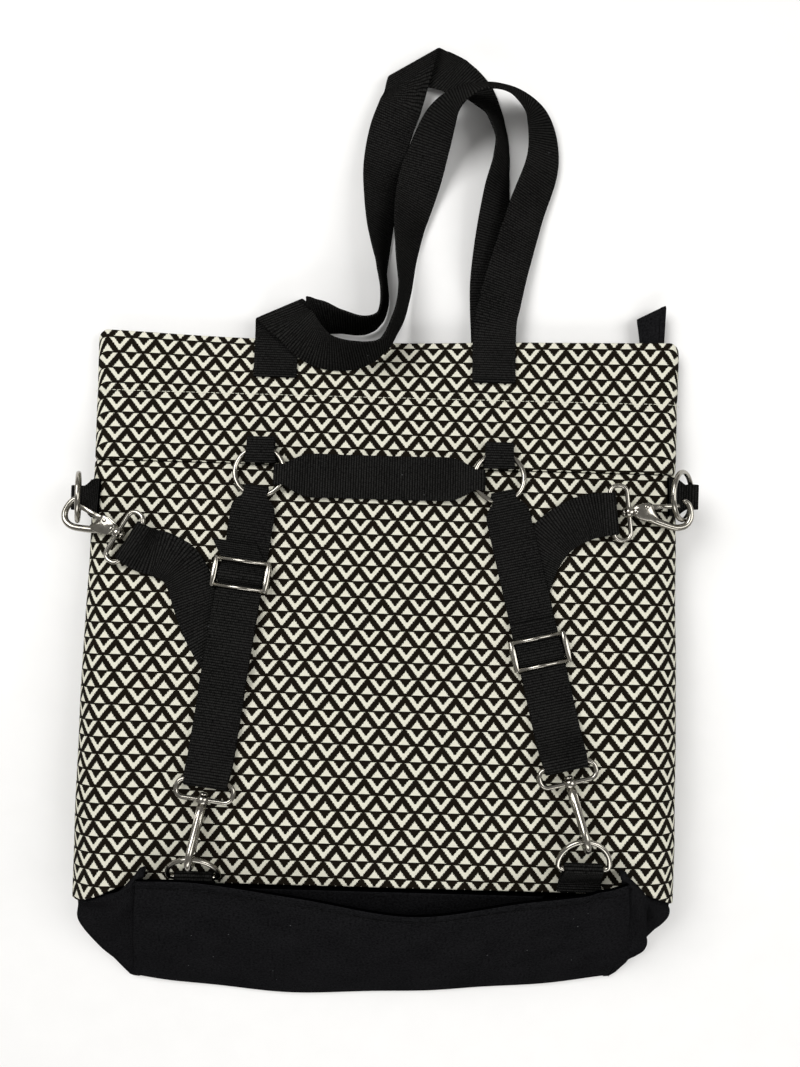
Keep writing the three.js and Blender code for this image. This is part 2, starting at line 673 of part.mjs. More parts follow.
// Each hook: where the ring's wire crosses its eye, its heading on the plan and its pitch
const HOOKS = [
  { name: "side_hook_right", eye: vec(212.2, 64.6, 39.6), heading: 7, pitch: 0.6, local: [37, -9], gate: 1 },
  { name: "side_hook_left", eye: vec(-218, 52, 37), heading: 150, pitch: -10, local: [31, -8.8], gate: -1 },
  {
    name: "base_hook_right",
    eye: vec(141, -151.5, 77.7),
    heading: -75.8,
    pitch: 6.8,
    local: [37, -9],
    gate: 0,
  },
  {
    name: "base_hook_left",
    eye: vec(-121, -170.5, 77.7),
    heading: -97.15,
    pitch: 6.8,
    local: [37, -9],
    gate: 0,
  },
];
const bars = {};
for (const hook of HOOKS) {
  const turn = radians(hook.heading);
  const pitch = radians(hook.pitch);
  const xDir = vec(Math.cos(turn) * Math.cos(pitch), Math.sin(turn) * Math.cos(pitch), Math.sin(pitch));
  const level = vec(-Math.sin(turn), Math.cos(turn), 0);
  const yDir = hook.gate === 0 ? vec(0, 0, -1) : level.clone().multiplyScalar(hook.gate);
  const turned = placed(vec(0, 0, 0), xDir, yDir);
  const inEye = vec(hook.local[0], hook.local[1], 0).applyMatrix4(turned);
  const swivel = hook.eye.clone().sub(inEye);
  const at = placed(swivel, xDir, yDir);
  const loopAt = placed(swivel, xDir, level);
  bars[hook.name] = swivel.clone().addScaledVector(xDir, -LOOP.far);
  add(hook.name, hookBody().applyMatrix4(at), "nickel");
  add(`${hook.name}_loop`, hookLoop().applyMatrix4(loopAt), "nickel");
  add(`${hook.name}_gate`, hookGate().applyMatrix4(at), "nickel");
}

// Strap end turned round a hook's loop: the wire's height above the cloth sets the turn
function barLift(name) {
  return bars[name].z - backHeight(bars[name].y);
}
const TURN = LOOP.wire + 0.7 + THICK / 2;

// Side straps: sewn back on themselves at the loop, tucked under the shoulder straps
const SIDE_STRAPS = {
  side_strap_right: {
    hook: "side_hook_right",
    plan: [[150.5, 66], [139, 62], [125, 53], [113, 38], [106, 22], [102, 8]],
  },
  side_strap_left: {
    hook: "side_hook_left",
    plan: [
      [-166.5, 32.3], [-155, 29.5], [-144.5, 23.8], [-136.5, 12.5],
      [-130, -4], [-121.5, -22], [-110, -40],
    ],
  },
};
for (const [name, strap] of Object.entries(SIDE_STRAPS)) {
  const start = bars[strap.hook];
  const lift = barLift(strap.hook);
  const plan = [[start.x, start.y], ...strap.plan];
  const length = new THREE.CatmullRomCurve3(plan.map(([x, y]) => vec(x, y, 0))).getLength();
  const rows = [
    { s: 34, lift: LIFT.under },
    { s: 22, lift: LIFT.under },
    { s: 12, lift: LIFT.under },
    { s: 5, lift: lift - TURN, width: 31, level: true },
    { s: 0.5, lift: lift - TURN, width: 30, level: true },
    ...turnRows(lift - TURN, lift + TURN, TURN, 30, true),
    { s: 0.5, lift: lift + TURN, width: 30, level: true },
    { s: 5, lift: lift + TURN - 0.6, width: 31, level: true },
    { s: 12, lift: 4.6 },
    { s: 18, lift: LIFT.second },
    { s: 35, lift: LIFT.second },
    { s: 43, lift: LIFT.under },
  ];
  for (let s = 50; s < length; s += 8) rows.push({ s, lift: LIFT.under });
  rows.push({ s: length, lift: LIFT.under });
  add(name, lap(plan, rows), "webbing");
}

// Shoulder straps: looped on the ring, down to the hook, back up through the slider to a tail
const SLIDER = { reach: 9.5, bar: 1.4, rail: 17.2, railWide: 2.8, low: 2.3, high: 5.9 };
const SHOULDER = {
  left: { hook: "base_hook_left", slider: 57, tail: 34, back: 24, cross: [68, 131], skew: 9, raise: 2 },
  right: { hook: "base_hook_right", slider: 108, tail: 86, back: 18, cross: [18, 78], skew: 0, raise: 0 },
};
for (const side of ["left", "right"]) {
  const strap = SHOULDER[side];
  const end = bars[strap.hook];
  const pull = vec(end.x - RINGS[side].x, end.y - RINGS[side].y, 0).normalize();
  const from = [RINGS[side].x + RING.radius * pull.x, RINGS[side].y + RING.radius * pull.y];
  const length = Math.hypot(end.x - from[0], end.y - from[1]);
  const lift = barLift(strap.hook);
  const over = (s) => s > strap.cross[0] - 3 && s < strap.cross[1] + 3;
  const main = (s) => (over(s) ? LIFT.second : LIFT.under);
  const atBar = (s) => Math.abs(s - strap.slider);
  const weave = (s) => {
    if (atBar(s) < 3) return SLIDER.low + SLIDER.bar + 0.4 + THICK / 2 + strap.raise;
    return main(s);
  };
  const rows = [
    { s: strap.back, lift: LIFT.under, width: 31 },
    { s: 12, lift: LIFT.under, width: 28 },
    { s: 0, lift: LIFT.under, width: 18 },
    ...turnRows(LIFT.under, LIFT.over, 7, 17),
    { s: 0, lift: LIFT.over, width: 18 },
    { s: 3, lift: LIFT.over - 0.3, width: 25 },
    { s: 8, lift: 5.4, width: 31 },
    { s: 15, lift: LIFT.second, width: WEB },
    { s: strap.back + 2, lift: LIFT.second },
  ];
  const places = [];
  for (let s = strap.back + 8; s < length - 12; s += 8) {
    if (atBar(s) > 14) places.push(s);
  }
  for (const step of [-12, -8, -2, 2, 8, 12]) places.push(strap.slider + step);
  for (const s of strap.cross) places.push(s - 3.2, s - 2.8, s + 2.8, s + 3.2);
  const run = places.filter((s) => s > strap.back + 6).sort((a, b) => a - b);
  const down = run.filter((s, k) => k === 0 || s - run[k - 1] > 3);
  for (const s of down) rows.push({ s, lift: weave(s) });
  const bottom = lift - TURN;
  rows.push({ s: length - 6, lift: bottom, width: 31 }, { s: length - 0.5, lift: bottom, width: 30 });
  for (const row of turnRows(bottom, lift + TURN, TURN, 30)) rows.push({ ...row, s: length - row.s });
  rows.push({ s: length - 0.5, lift: lift + TURN, width: 30 });
  rows.push({ s: length - 6, lift: lift + TURN - 0.6, width: 31 });
  for (const s of [...down].reverse()) {
    if (s < strap.tail + 3) continue;
    const skew = strap.skew * clamp((strap.slider - 10 - s) / 12, 0, 1);
    rows.push({ s, lift: weave(s) + 2, shift: skew });
  }
  rows.push({ s: strap.tail, lift: main(strap.tail) + 2.1, shift: strap.skew });
  add(`shoulder_strap_${side}`, lap([from, [end.x, end.y]], rows), "webbing");

  const share = strap.slider / length;
  const middle = vec(mix(from[0], end.x, share), mix(from[1], end.y, share), 0);
  middle.z = backHeight(middle.y) + strap.raise;
  const outward = vec(end.x - from[0], end.y - from[1], 0).normalize();
  outward.z = (backHeight(middle.y + outward.y * 5) - backHeight(middle.y - outward.y * 5)) / 10;
  const reach = SLIDER.reach + SLIDER.bar;
  const inner = SLIDER.rail;
  const outer = SLIDER.rail + SLIDER.railWide;
  const rod = (x, z) => bar("y", -inner - 1, inner + 1, SLIDER.bar, 8, vec(x, 0, z));
  const slider = joined(
    block(-reach, reach, inner, outer, 0.7, 7.3),
    block(-reach, reach, -outer, -inner, 0.7, 7.3),
    rod(-SLIDER.reach, SLIDER.high),
    rod(0, SLIDER.low),
    rod(SLIDER.reach, SLIDER.high),
  );
  const across = vec(-outward.y, outward.x, 0);
  across.z = (outward.z / outward.y) * across.y;
  add(`slider_${side}`, slider.applyMatrix4(placed(middle, outward, across)), "nickel");
}

// D-rings of the base and the tabs that hold them
function dRingPath() {
  const path = [];
  const inner = D_RING.half - D_RING.corner;
  for (const deg of [180, 225, 270]) {
    const turn = radians(deg);
    path.push(vec(-inner + D_RING.corner * Math.cos(turn), D_RING.corner * (1 + Math.sin(turn)), 0));
  }
  for (const deg of [270, 315]) {
    const turn = radians(deg);
    path.push(vec(inner + D_RING.corner * Math.cos(turn), D_RING.corner * (1 + Math.sin(turn)), 0));
  }
  for (let deg = 0; deg < 180; deg += 15) {
    const turn = radians(deg);
    path.push(vec(D_RING.half * Math.cos(turn), D_RING.corner + D_RING.half * Math.sin(turn), 0));
  }
  return path;
}
const D_RISE = D_RING.corner + D_RING.half;
const D_TABS = { left: -195.2, right: -191 };
const BACK_EDGE = { y: -194.4, slope: 0.42 };
for (const side of ["left", "right"]) {
  const eye = HOOKS.find((hook) => hook.name === `base_hook_${side}`).eye;
  const tilt = radians(D_RING.tilt[side]);
  const upDir = vec(0, Math.cos(tilt), Math.sin(tilt));
  const foot = eye.clone().addScaledVector(upDir, -D_RISE);
  const ring = wire(dRingPath(), D_RING.wire, true);
  add(`d_ring_${side}`, ring.applyMatrix4(placed(foot, vec(1, 0, 0), upDir)), "nickel");
  const lift = foot.z - 60;
  const turn = D_RING.wire + 0.5 + THICK / 2;
  const sewn = foot.y - D_TABS[side];
  const bend = Math.min(12, 0.7 * sewn);
  const drop = (s) => BACK_EDGE.slope * Math.min(0, foot.y - s - BACK_EDGE.y);
  const rows = [
    { s: sewn, lift: LIFT.under + drop(sewn), width: 31 },
    { s: bend, lift: LIFT.under + drop(bend), width: 28 },
    { s: 0.5, lift: lift - turn, width: 26 },
    ...turnRows(lift - turn, lift + turn, turn, 26),
    { s: 0.5, lift: lift + turn, width: 26 },
    { s: bend, lift: 4.6 + drop(bend), width: 28 },
    { s: sewn, lift: LIFT.second + drop(sewn), width: 31 },
  ];
  const plan = [[foot.x, foot.y], [foot.x, D_TABS[side]]];
  add(`d_ring_tab_${side}`, lap(plan, rows, () => 60), "webbing");
}

// Side rings leaning inwards and the tabs that hold them at the side seams
const SIDES = { left: { sign: -1, lean: 20 }, right: { sign: 1, lean: 40 } };
const TAB_LOOP = [
  { d: 5.8, q: -4 },
  { d: 5.9, q: 0 },
  { d: 5.2, q: 2.6 },
  { d: 2.6, q: 4.4 },
  { d: -0.6, q: 4 },
  { d: -2.8, q: 2 },
  { d: -3.2, q: -1 },
  { d: -3.4, q: -5 },
];
const TAB_WIDTH = 18;
for (const side of ["left", "right"]) {
  const { sign, lean } = SIDES[side];
  const tilt = radians(lean);
  const eye = HOOKS.find((hook) => hook.name === `side_hook_${side}`).eye;
  const dDir = vec(-sign * Math.sin(tilt), 0, Math.cos(tilt));
  const qDir = vec(sign * Math.cos(tilt), 0, Math.sin(tilt));
  const centre = eye.clone().add(vec(0, SIDE_RING.radius, 0));
  const ring = wire(circle(SIDE_RING.radius, 20), SIDE_RING.wire, true);
  add(`side_ring_${side}`, ring.applyMatrix4(placed(centre, vec(0, 1, 0), dDir)), "nickel");
  const foot = centre.clone().addScaledVector(dDir, -SIDE_RING.radius);
  const height = backHeight(centre.y);
  const loop = TAB_LOOP.map((row) => foot.clone().addScaledVector(dDir, row.d).addScaledVector(qDir, row.q));
  const path = [
    vec(sign * 205, 0, height * 0.95 + 2),
    vec(sign * 211, 0, height * 0.82 + 2.8),
    ...loop,
    vec(sign * 216.6, 0, height / 2 + 1),
  ];
  const wide = (k) => (k < 2 || k > path.length - 2 ? WEB - 4 : TAB_WIDTH) / 2;
  const slope = (k, y) => (k < 2 ? backHeight(y) - height : 0);
  const edge = (way) =>
    path.map((p, k) => {
      const y = centre.y + way * wide(k);
      return vec(p.x, y, p.z + slope(k, y));
    });
  const low = edge(-1);
  const high = edge(1);
  add(`side_tab_${side}`, ribbon(low, high, THICK), "webbing");
}

export default group;
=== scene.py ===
# %% [markdown]
# # A woven tote backpack, lying on its front
# The CAD frame gives every piece its place. This lesson dresses that frame: woven panels, a folded
# canvas base, webbing straps with their stitching, and bright nickel rings, sliders and snap hooks.

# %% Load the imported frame
import math

import bpy
import numpy as np
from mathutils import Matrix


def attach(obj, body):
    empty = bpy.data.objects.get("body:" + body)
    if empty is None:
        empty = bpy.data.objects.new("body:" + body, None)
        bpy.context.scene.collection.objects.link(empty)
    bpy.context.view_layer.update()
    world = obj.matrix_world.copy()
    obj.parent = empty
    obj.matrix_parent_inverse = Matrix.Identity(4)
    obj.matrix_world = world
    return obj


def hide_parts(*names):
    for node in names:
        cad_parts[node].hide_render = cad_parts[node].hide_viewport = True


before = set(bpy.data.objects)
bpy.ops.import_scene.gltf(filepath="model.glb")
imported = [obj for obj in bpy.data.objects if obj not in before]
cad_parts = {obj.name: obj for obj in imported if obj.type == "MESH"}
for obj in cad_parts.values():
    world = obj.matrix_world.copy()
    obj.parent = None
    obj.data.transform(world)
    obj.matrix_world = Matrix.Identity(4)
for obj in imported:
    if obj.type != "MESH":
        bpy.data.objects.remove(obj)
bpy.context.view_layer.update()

MM = 0.001
scene = bpy.context.scene

# %% [markdown]
# ## Camera and stage
# The photograph looks straight down on the bag. A perspective camera with the photograph's own focal
# length, a little less than arm's length above the back panel, gives the same foreshortening.
# Wide soft lamps keep the shadows open, and a pale floor stands in for the table.

# %% Camera
PHOTO_HEIGHT_PX = 1067
FOCAL_PX = 802
SENSOR = 36
CAMERA_PLACE_M = (0.0122, 0.0494, 0.609)
CAMERA_TURN_DEG = 1.6
camera_data = bpy.data.cameras.new("photo_camera")
camera_data.sensor_width = SENSOR
camera_data.lens = SENSOR * FOCAL_PX / PHOTO_HEIGHT_PX
camera_data.clip_start = 0.01
camera = bpy.data.objects.new("photo_camera", camera_data)
camera.location = CAMERA_PLACE_M
camera.rotation_euler = (0, 0, math.radians(CAMERA_TURN_DEG))
scene.collection.objects.link(camera)
scene.camera = camera
print("lens", round(camera_data.lens, 2), "mm")

# %% Lamps and sky
LAMPS = {
    "window_lamp": {"place": (-0.75, 0.75, 1.25), "watts": 21, "size": (1.1, 0.8)},
    "right_fill": {"place": (1.0, 0.15, 1.1), "watts": 9, "size": (0.7, 1.0)},
    "base_fill": {"place": (0.1, -1.15, 0.9), "watts": 7, "size": (1.2, 0.5)},
}
SKY_COLOUR = (1, 0.985, 0.96, 1)
SKY_STRENGTH = 0.30


def soft_lamp(name, place, watts, size):
    lamp = bpy.data.lights.new(name, "AREA")
    lamp.shape = "RECTANGLE"
    lamp.size = size[0]
    lamp.size_y = size[1]
    lamp.energy = watts
    holder = bpy.data.objects.new(name, lamp)
    holder.location = place
    aim = holder.location.copy()
    aim.negate()
    holder.rotation_euler = aim.to_track_quat("-Z", "Y").to_euler()
    scene.collection.objects.link(holder)


for lamp_name, lamp in LAMPS.items():
    soft_lamp(lamp_name, **lamp)
sky = bpy.data.worlds.new("studio_sky")
sky.use_nodes = True
sky.node_tree.nodes["Background"].inputs["Color"].default_value = SKY_COLOUR
sky.node_tree.nodes["Background"].inputs["Strength"].default_value = SKY_STRENGTH
scene.world = sky
scene.view_settings.view_transform = "Standard"
print(len(LAMPS), "soft lamps")

# %% [markdown]
# ## Helpers for shader nodes
# The weave of the cloth is a chart, so it is drawn with plain arithmetic on the piece's own UV map,
# which holds millimetres along and across the cloth. These helpers keep the node code short.


# %% Node helpers
def feed(tree, socket, value):
    if hasattr(value, "is_output"):
        tree.links.new(value, socket)
    else:
        socket.default_value = value


def do(tree, operation, *values):
    node = tree.nodes.new("ShaderNodeMath")
    node.operation = operation
    for socket, value in zip(node.inputs, values):
        feed(tree, socket, value)
    return node.outputs[0]


def shader_group(name, takes, gives):
    tree = bpy.data.node_groups.new(name, "ShaderNodeTree")
    for socket_name, kind in takes:
        tree.interface.new_socket(socket_name, in_out="INPUT", socket_type=kind)
    for socket_name in gives:
        tree.interface.new_socket(socket_name, in_out="OUTPUT", socket_type="NodeSocketFloat")
    start = tree.nodes.new("NodeGroupInput")
    end = tree.nodes.new("NodeGroupOutput")
    return tree, start.outputs, end.inputs


def use_group(tree, group, **values):
    node = tree.nodes.new("ShaderNodeGroup")
    node.node_tree = group
    for name, value in values.items():
        feed(tree, node.inputs[name], value)
    return node.outputs


def noise(tree, place, scale, detail=2.0, rough=0.5):
    node = tree.nodes.new("ShaderNodeTexNoise")
    feed(tree, node.inputs["Vector"], place)
    node.inputs["Scale"].default_value = scale
    node.inputs["Detail"].default_value = detail
    node.inputs["Roughness"].default_value = rough
    return node.outputs["Fac"]


def mixed(tree, factor, dark, light):
    node = tree.nodes.new("ShaderNodeMix")
    node.data_type = "RGBA"
    feed(tree, node.inputs["Factor"], factor)
    feed(tree, node.inputs["A"], dark)
    feed(tree, node.inputs["B"], light)
    return next(s for s in node.outputs if s.type == "RGBA")


def new_material(name):
    material = bpy.data.materials.new(name)
    material.use_nodes = True
    tree = material.node_tree
    shader = tree.nodes["Principled BSDF"]
    return material, tree, shader


def bump(tree, shader, height, strength, distance):
    node = tree.nodes.new("ShaderNodeBump")
    node.inputs["Strength"].default_value = strength
    node.inputs["Distance"].default_value = distance
    feed(tree, node.inputs["Height"], height)
    tree.links.new(node.outputs["Normal"], shader.inputs["Normal"])


def lay_of(tree):
    return tree.nodes.new("ShaderNodeUVMap").outputs["UV"]


print("node helpers ready")

# %% [markdown]
# ## Jacquard chart
# The body cloth is a two-colour jacquard: rows of cream V shapes on black, a small cream triangle
# between each pair, and every other row set half a repeat over. A tiled picture would blur, so the chart
# is worked out from the place on the cloth. Steps of whole yarns give the woven staircase edges.

# %% Jacquard chart group
ROW_STEPS = 13
REPEAT_YARNS = 39
FRAY_MM = 0.9
FRAY_PER_MM = 1.3
ARM_INSIDE = 0.242
ARM_OUTSIDE = 0.052
TRIANGLE_START = 0.245
ROW_LINE_HALF = 0.45
YARN_MM = 0.62
WEAVE_RISE = 0.35
chart, at, out = shader_group(
    "jacquard_chart",
    [("Place", "NodeSocketVector"), ("Repeat", "NodeSocketFloat"), ("Row", "NodeSocketFloat")],
    ["Cream", "Yarn"],
)
split = chart.nodes.new("ShaderNodeSeparateXYZ")
chart.links.new(at["Place"], split.inputs[0])
rows_down = do(chart, "DIVIDE", split.outputs["Y"], at["Row"])
row_number = do(chart, "FLOOR", rows_down)
row_part = do(chart, "SUBTRACT", rows_down, row_number)
row_step = do(chart, "FLOOR", do(chart, "MULTIPLY", row_part, ROW_STEPS))
down = do(chart, "DIVIDE", do(chart, "ADD", row_step, 0.5), ROW_STEPS)
half_over = do(chart, "FRACT", do(chart, "MULTIPLY", row_number, 0.5))
fray = do(chart, "MULTIPLY", do(chart, "SUBTRACT", noise(chart, at["Place"], FRAY_PER_MM), 0.5), FRAY_MM)
frayed_x = do(chart, "ADD", split.outputs["X"], fray)
repeats = do(chart, "ADD", do(chart, "DIVIDE", frayed_x, at["Repeat"]), half_over)
yarn_step = do(chart, "FLOOR", do(chart, "MULTIPLY", do(chart, "FRACT", repeats), REPEAT_YARNS))
over = do(chart, "DIVIDE", do(chart, "ADD", yarn_step, 0.5), REPEAT_YARNS)
from_middle = do(chart, "ABSOLUTE", do(chart, "SUBTRACT", over, 0.5))
from_side = do(chart, "SUBTRACT", 0.5, from_middle)
arm = do(chart, "MULTIPLY", do(chart, "SUBTRACT", 1.0, down), 0.5)
arm_inside = do(chart, "GREATER_THAN", from_side, do(chart, "SUBTRACT", arm, ARM_INSIDE))
arm_outside = do(chart, "LESS_THAN", from_side, do(chart, "SUBTRACT", arm, ARM_OUTSIDE))
arms = do(chart, "MULTIPLY", arm_inside, arm_outside)
half_triangle = do(chart, "SUBTRACT", do(chart, "MULTIPLY", down, 0.5), TRIANGLE_START)
triangle = do(chart, "LESS_THAN", from_middle, half_triangle)
from_row_middle = do(chart, "ABSOLUTE", do(chart, "SUBTRACT", row_part, 0.5))
row_line = do(chart, "LESS_THAN", from_row_middle, ROW_LINE_HALF)
cream = do(chart, "MULTIPLY", do(chart, "MAXIMUM", arms, triangle), row_line)
yarn_wave = do(chart, "SINE", do(chart, "MULTIPLY", split.outputs["Y"], 2 * math.pi / YARN_MM))
cross_wave = do(chart, "SINE", do(chart, "MULTIPLY", split.outputs["X"], 2 * math.pi / YARN_MM))
weave_wave = do(chart, "MULTIPLY", yarn_wave, cross_wave)
chart.links.new(cream, out["Cream"])
raised = do(chart, "ADD", do(chart, "MULTIPLY", weave_wave, WEAVE_RISE), cream)
chart.links.new(raised, out["Yarn"])
print("chart nodes", len(chart.nodes))

# %% [markdown]
# ## Lint
# Dark cloth always carries a little lint. One small group makes sparse pale specks, and the canvas and
# the webbing both use it with their own amounts.

# %% Lint group
SPECK_SIZE = 0.16
lint, at, out = shader_group(
    "lint",
    [("Place", "NodeSocketVector"), ("Scale", "NodeSocketFloat"), ("Amount", "NodeSocketFloat")],
    ["Specks"],
)
cells = lint.nodes.new("ShaderNodeTexVoronoi")
lint.links.new(at["Place"], cells.inputs["Vector"])
lint.links.new(at["Scale"], cells.inputs["Scale"])
cell_colour = lint.nodes.new("ShaderNodeSeparateColor")
lint.links.new(cells.outputs["Color"], cell_colour.inputs[0])
chosen = do(lint, "LESS_THAN", cell_colour.outputs[0], at["Amount"])
small = do(lint, "LESS_THAN", cells.outputs["Distance"], SPECK_SIZE)
lint.links.new(do(lint, "MULTIPLY", chosen, small), out["Specks"])
print("lint nodes", len(lint.nodes))

# %% [markdown]
# ## Thread grid
# Canvas and webbing are both woven one over, one under. The group makes that basket of bumps from two
# pitches: canvas has an even fine grid, and webbing has strong ribs across its width.

# %% Thread grid group
YARN_FLOOR = 0.45
thread_grid, at, out = shader_group(
    "thread_grid",
    [("Place", "NodeSocketVector"), ("Rib", "NodeSocketFloat"), ("Yarn", "NodeSocketFloat")],
    ["Height"],
)
split = thread_grid.nodes.new("ShaderNodeSeparateXYZ")
thread_grid.links.new(at["Place"], split.inputs[0])
ribs = do(thread_grid, "DIVIDE", split.outputs["Y"], at["Rib"])
rib_number = do(thread_grid, "FLOOR", ribs)
rib_round = do(thread_grid, "SINE", do(thread_grid, "MULTIPLY", do(thread_grid, "FRACT", ribs), math.pi))
half_yarn = do(thread_grid, "MULTIPLY", rib_number, 0.5)
yarns = do(thread_grid, "ADD", do(thread_grid, "DIVIDE", split.outputs["X"], at["Yarn"]), half_yarn)
yarn_round = do(thread_grid, "SINE", do(thread_grid, "MULTIPLY", do(thread_grid, "FRACT", yarns), math.pi))
yarn_rise = do(thread_grid, "ADD", YARN_FLOOR, do(thread_grid, "MULTIPLY", yarn_round, 1 - YARN_FLOOR))
basket = do(thread_grid, "MULTIPLY", rib_round, yarn_rise)
thread_grid.links.new(basket, out["Height"])
print("thread grid nodes", len(thread_grid.nodes))

# %% [markdown]
# ## Finishes
# Jacquard, canvas, webbing and nickel cover the bag, with a finer tape and two threads beside them. The
# cloths read the UV map in millimetres, so the weave keeps its real size and follows the cloth through
# every fold. The metal and the threads read Object coordinates.

# %% Jacquard finish
CREAM = (0.86, 0.85, 0.740, 1)
CREAM_SHADE = (0.47, 0.448, 0.345, 1)
WARM_BLACK = (0.0045, 0.0033, 0.0018, 1)
BLACK_LIFT = (0.0115, 0.0088, 0.0058, 1)
REPEAT_MM = 17.7
ROW_MM = 11.3
SLUB_PER_MM = 1.7
JACQUARD_RELIEF = {"strength": 0.55, "distance": 0.00035}
SHEEN = {"jacquard": 0.03, "black": 0.0, "thread": 0.05}
ROUGHNESS = {"jacquard": 0.86, "black": 0.82, "thread": 0.7, "table": 0.7}


def jacquard_finish():
    material, tree, shader = new_material("jacquard_weave")
    lay = lay_of(tree)
    woven = use_group(tree, chart, Place=lay, Repeat=REPEAT_MM, Row=ROW_MM)
    slub = noise(tree, lay, SLUB_PER_MM, 3.0, 0.65)
    cream_yarn = mixed(tree, slub, CREAM_SHADE, CREAM)
    black_yarn = mixed(tree, slub, WARM_BLACK, BLACK_LIFT)
    tree.links.new(mixed(tree, woven["Cream"], black_yarn, cream_yarn), shader.inputs["Base Color"])
    shader.inputs["Roughness"].default_value = ROUGHNESS["jacquard"]
    shader.inputs["Specular IOR Level"].default_value = SHEEN["jacquard"]
    bump(tree, shader, woven["Yarn"], **JACQUARD_RELIEF)
    return material


jacquard = jacquard_finish()
print(jacquard.name)

# %% Canvas and webbing finishes
# The lift colours are painted highlight on the raised yarns. The weave's hollows fall to black as painted
# shade, and random patches of tone spread both.
CANVAS_BLACK = (0.0004, 0.0004, 0.0005, 1)
CANVAS_CROWN_HIGHLIGHT = (0.0150, 0.0150, 0.0162, 1)
WEB_BLACK = (0.0004, 0.0004, 0.0004, 1)
WEB_CROWN_HIGHLIGHT = (0.0185, 0.0182, 0.0173, 1)
LINT_PALE = (0.11, 0.11, 0.115, 1)
LINT_PER_MM = 0.42
CLOUD = {"per_mm": 0.035, "rough": 0.6, "floor": 0.45, "gain": 1.1}
GRAIN = {"per_mm": 0.6, "rough": 0.75, "floor": -1.2, "gain": 4.4}


def patchiness(tree, lay, per_mm, rough, floor, gain):
    spread = noise(tree, lay, per_mm, 3.0, rough)
    return do(tree, "ADD", floor, do(tree, "MULTIPLY", spread, gain))


def woven_black(name, rib, yarn, dark, light, lint_amount, relief, depth):
    material, tree, shader = new_material(name)
    lay = lay_of(tree)
    threads = use_group(tree, thread_grid, Place=lay, Rib=rib, Yarn=yarn)
    patches = do(tree, "MULTIPLY", patchiness(tree, lay, **CLOUD), patchiness(tree, lay, **GRAIN))
    # Painted highlight on the raised yarns and painted shade in their hollows, from the thread height, times
    # random patches of tone.
    shade = do(tree, "MULTIPLY", threads["Height"], patches)
    lit_yarn_colour = mixed(tree, shade, dark, light)
    specks = use_group(tree, lint, Place=lay, Scale=LINT_PER_MM, Amount=lint_amount)
    tree.links.new(mixed(tree, specks["Specks"], lit_yarn_colour, LINT_PALE), shader.inputs["Base Color"])
    shader.inputs["Roughness"].default_value = ROUGHNESS["black"]
    shader.inputs["Specular IOR Level"].default_value = SHEEN["black"]
    bump(tree, shader, threads["Height"], relief, depth)
    return material


CANVAS_WEAVE = {"rib": 0.95, "yarn": 0.95, "lint_amount": 0.010, "relief": 0.5, "depth": 0.0003}
WEB_WEAVE = {"rib": 1.85, "yarn": 1.6, "lint_amount": 0.004, "relief": 0.9, "depth": 0.0006}
TAPE_WEAVE = {"rib": 0.7, "yarn": 0.5, "lint_amount": 0.0, "relief": 0.3, "depth": 0.0002}
canvas = woven_black("base_canvas", dark=CANVAS_BLACK, light=CANVAS_CROWN_HIGHLIGHT, **CANVAS_WEAVE)
webbing_cloth = woven_black("strap_webbing", dark=WEB_BLACK, light=WEB_CROWN_HIGHLIGHT, **WEB_WEAVE)
zip_tape = woven_black("zip_tape", dark=WEB_BLACK, light=CANVAS_CROWN_HIGHLIGHT, **TAPE_WEAVE)
print(canvas.name, webbing_cloth.name, zip_tape.name)

# %% Nickel and thread finishes
# Both nickel tones are painted reflection: the plate is darkened to stand in for the dark room that bright
# metal would mirror.
NICKEL_PAINTED_DARK_REFLECTION = (0.25, 0.236, 0.204, 1)
NICKEL_PAINTED_PALE_REFLECTION = (0.40, 0.38, 0.335, 1)
GLOSS = {"floor": 0.13, "gain": 0.12}
MOTTLE_PER_M = 260.0
TWIST_PER_M = 3200.0
THREAD_BLACK = (0.001, 0.001, 0.001, 1)
THREAD_LIFT = (0.006, 0.006, 0.006, 1)


def nickel_finish():
    material, tree, shader = new_material("bright_nickel")
    place = tree.nodes.new("ShaderNodeTexCoord").outputs["Object"]
    # Random mottle between the two painted-reflection tones. It also varies the roughness.
    mottle = noise(tree, place, MOTTLE_PER_M, 4.0, 0.6)
    shade = mixed(tree, mottle, NICKEL_PAINTED_DARK_REFLECTION, NICKEL_PAINTED_PALE_REFLECTION)
    tree.links.new(shade, shader.inputs["Base Color"])
    shader.inputs["Metallic"].default_value = 1.0
    gloss = do(tree, "ADD", GLOSS["floor"], do(tree, "MULTIPLY", mottle, GLOSS["gain"]))
    tree.links.new(gloss, shader.inputs["Roughness"])
    return material


def thread_finish(name, dark, light):
    material, tree, shader = new_material(name)
    place = tree.nodes.new("ShaderNodeTexCoord").outputs["Object"]
    twist = noise(tree, place, TWIST_PER_M, 2.0, 0.5)
    tree.links.new(mixed(tree, twist, dark, light), shader.inputs["Base Color"])
    shader.inputs["Roughness"].default_value = ROUGHNESS["thread"]
    shader.inputs["Specular IOR Level"].default_value = SHEEN["thread"]
    return material


nickel = nickel_finish()
cream_thread = thread_finish("cream_thread", CREAM_SHADE, CREAM)
black_thread = thread_finish("black_thread", THREAD_BLACK, THREAD_LIFT)
print(nickel.name, cream_thread.name, black_thread.name)

# %% [markdown]
# ## Helpers for meshes
# Every piece is made as points and faces in millimetres and turned into one closed mesh at the origin.
# The signed volume tells whether the faces point outwards; if it is negative they are all turned round.


# %% Mesh helpers
def outward(points, faces):
    a, b, c, d = (points[faces[:, k]] for k in range(4))
    volume = np.sum(a * np.cross(b, c)) + np.sum(a * np.cross(c, d))
    return points, faces if volume > 0 else faces[:, ::-1]


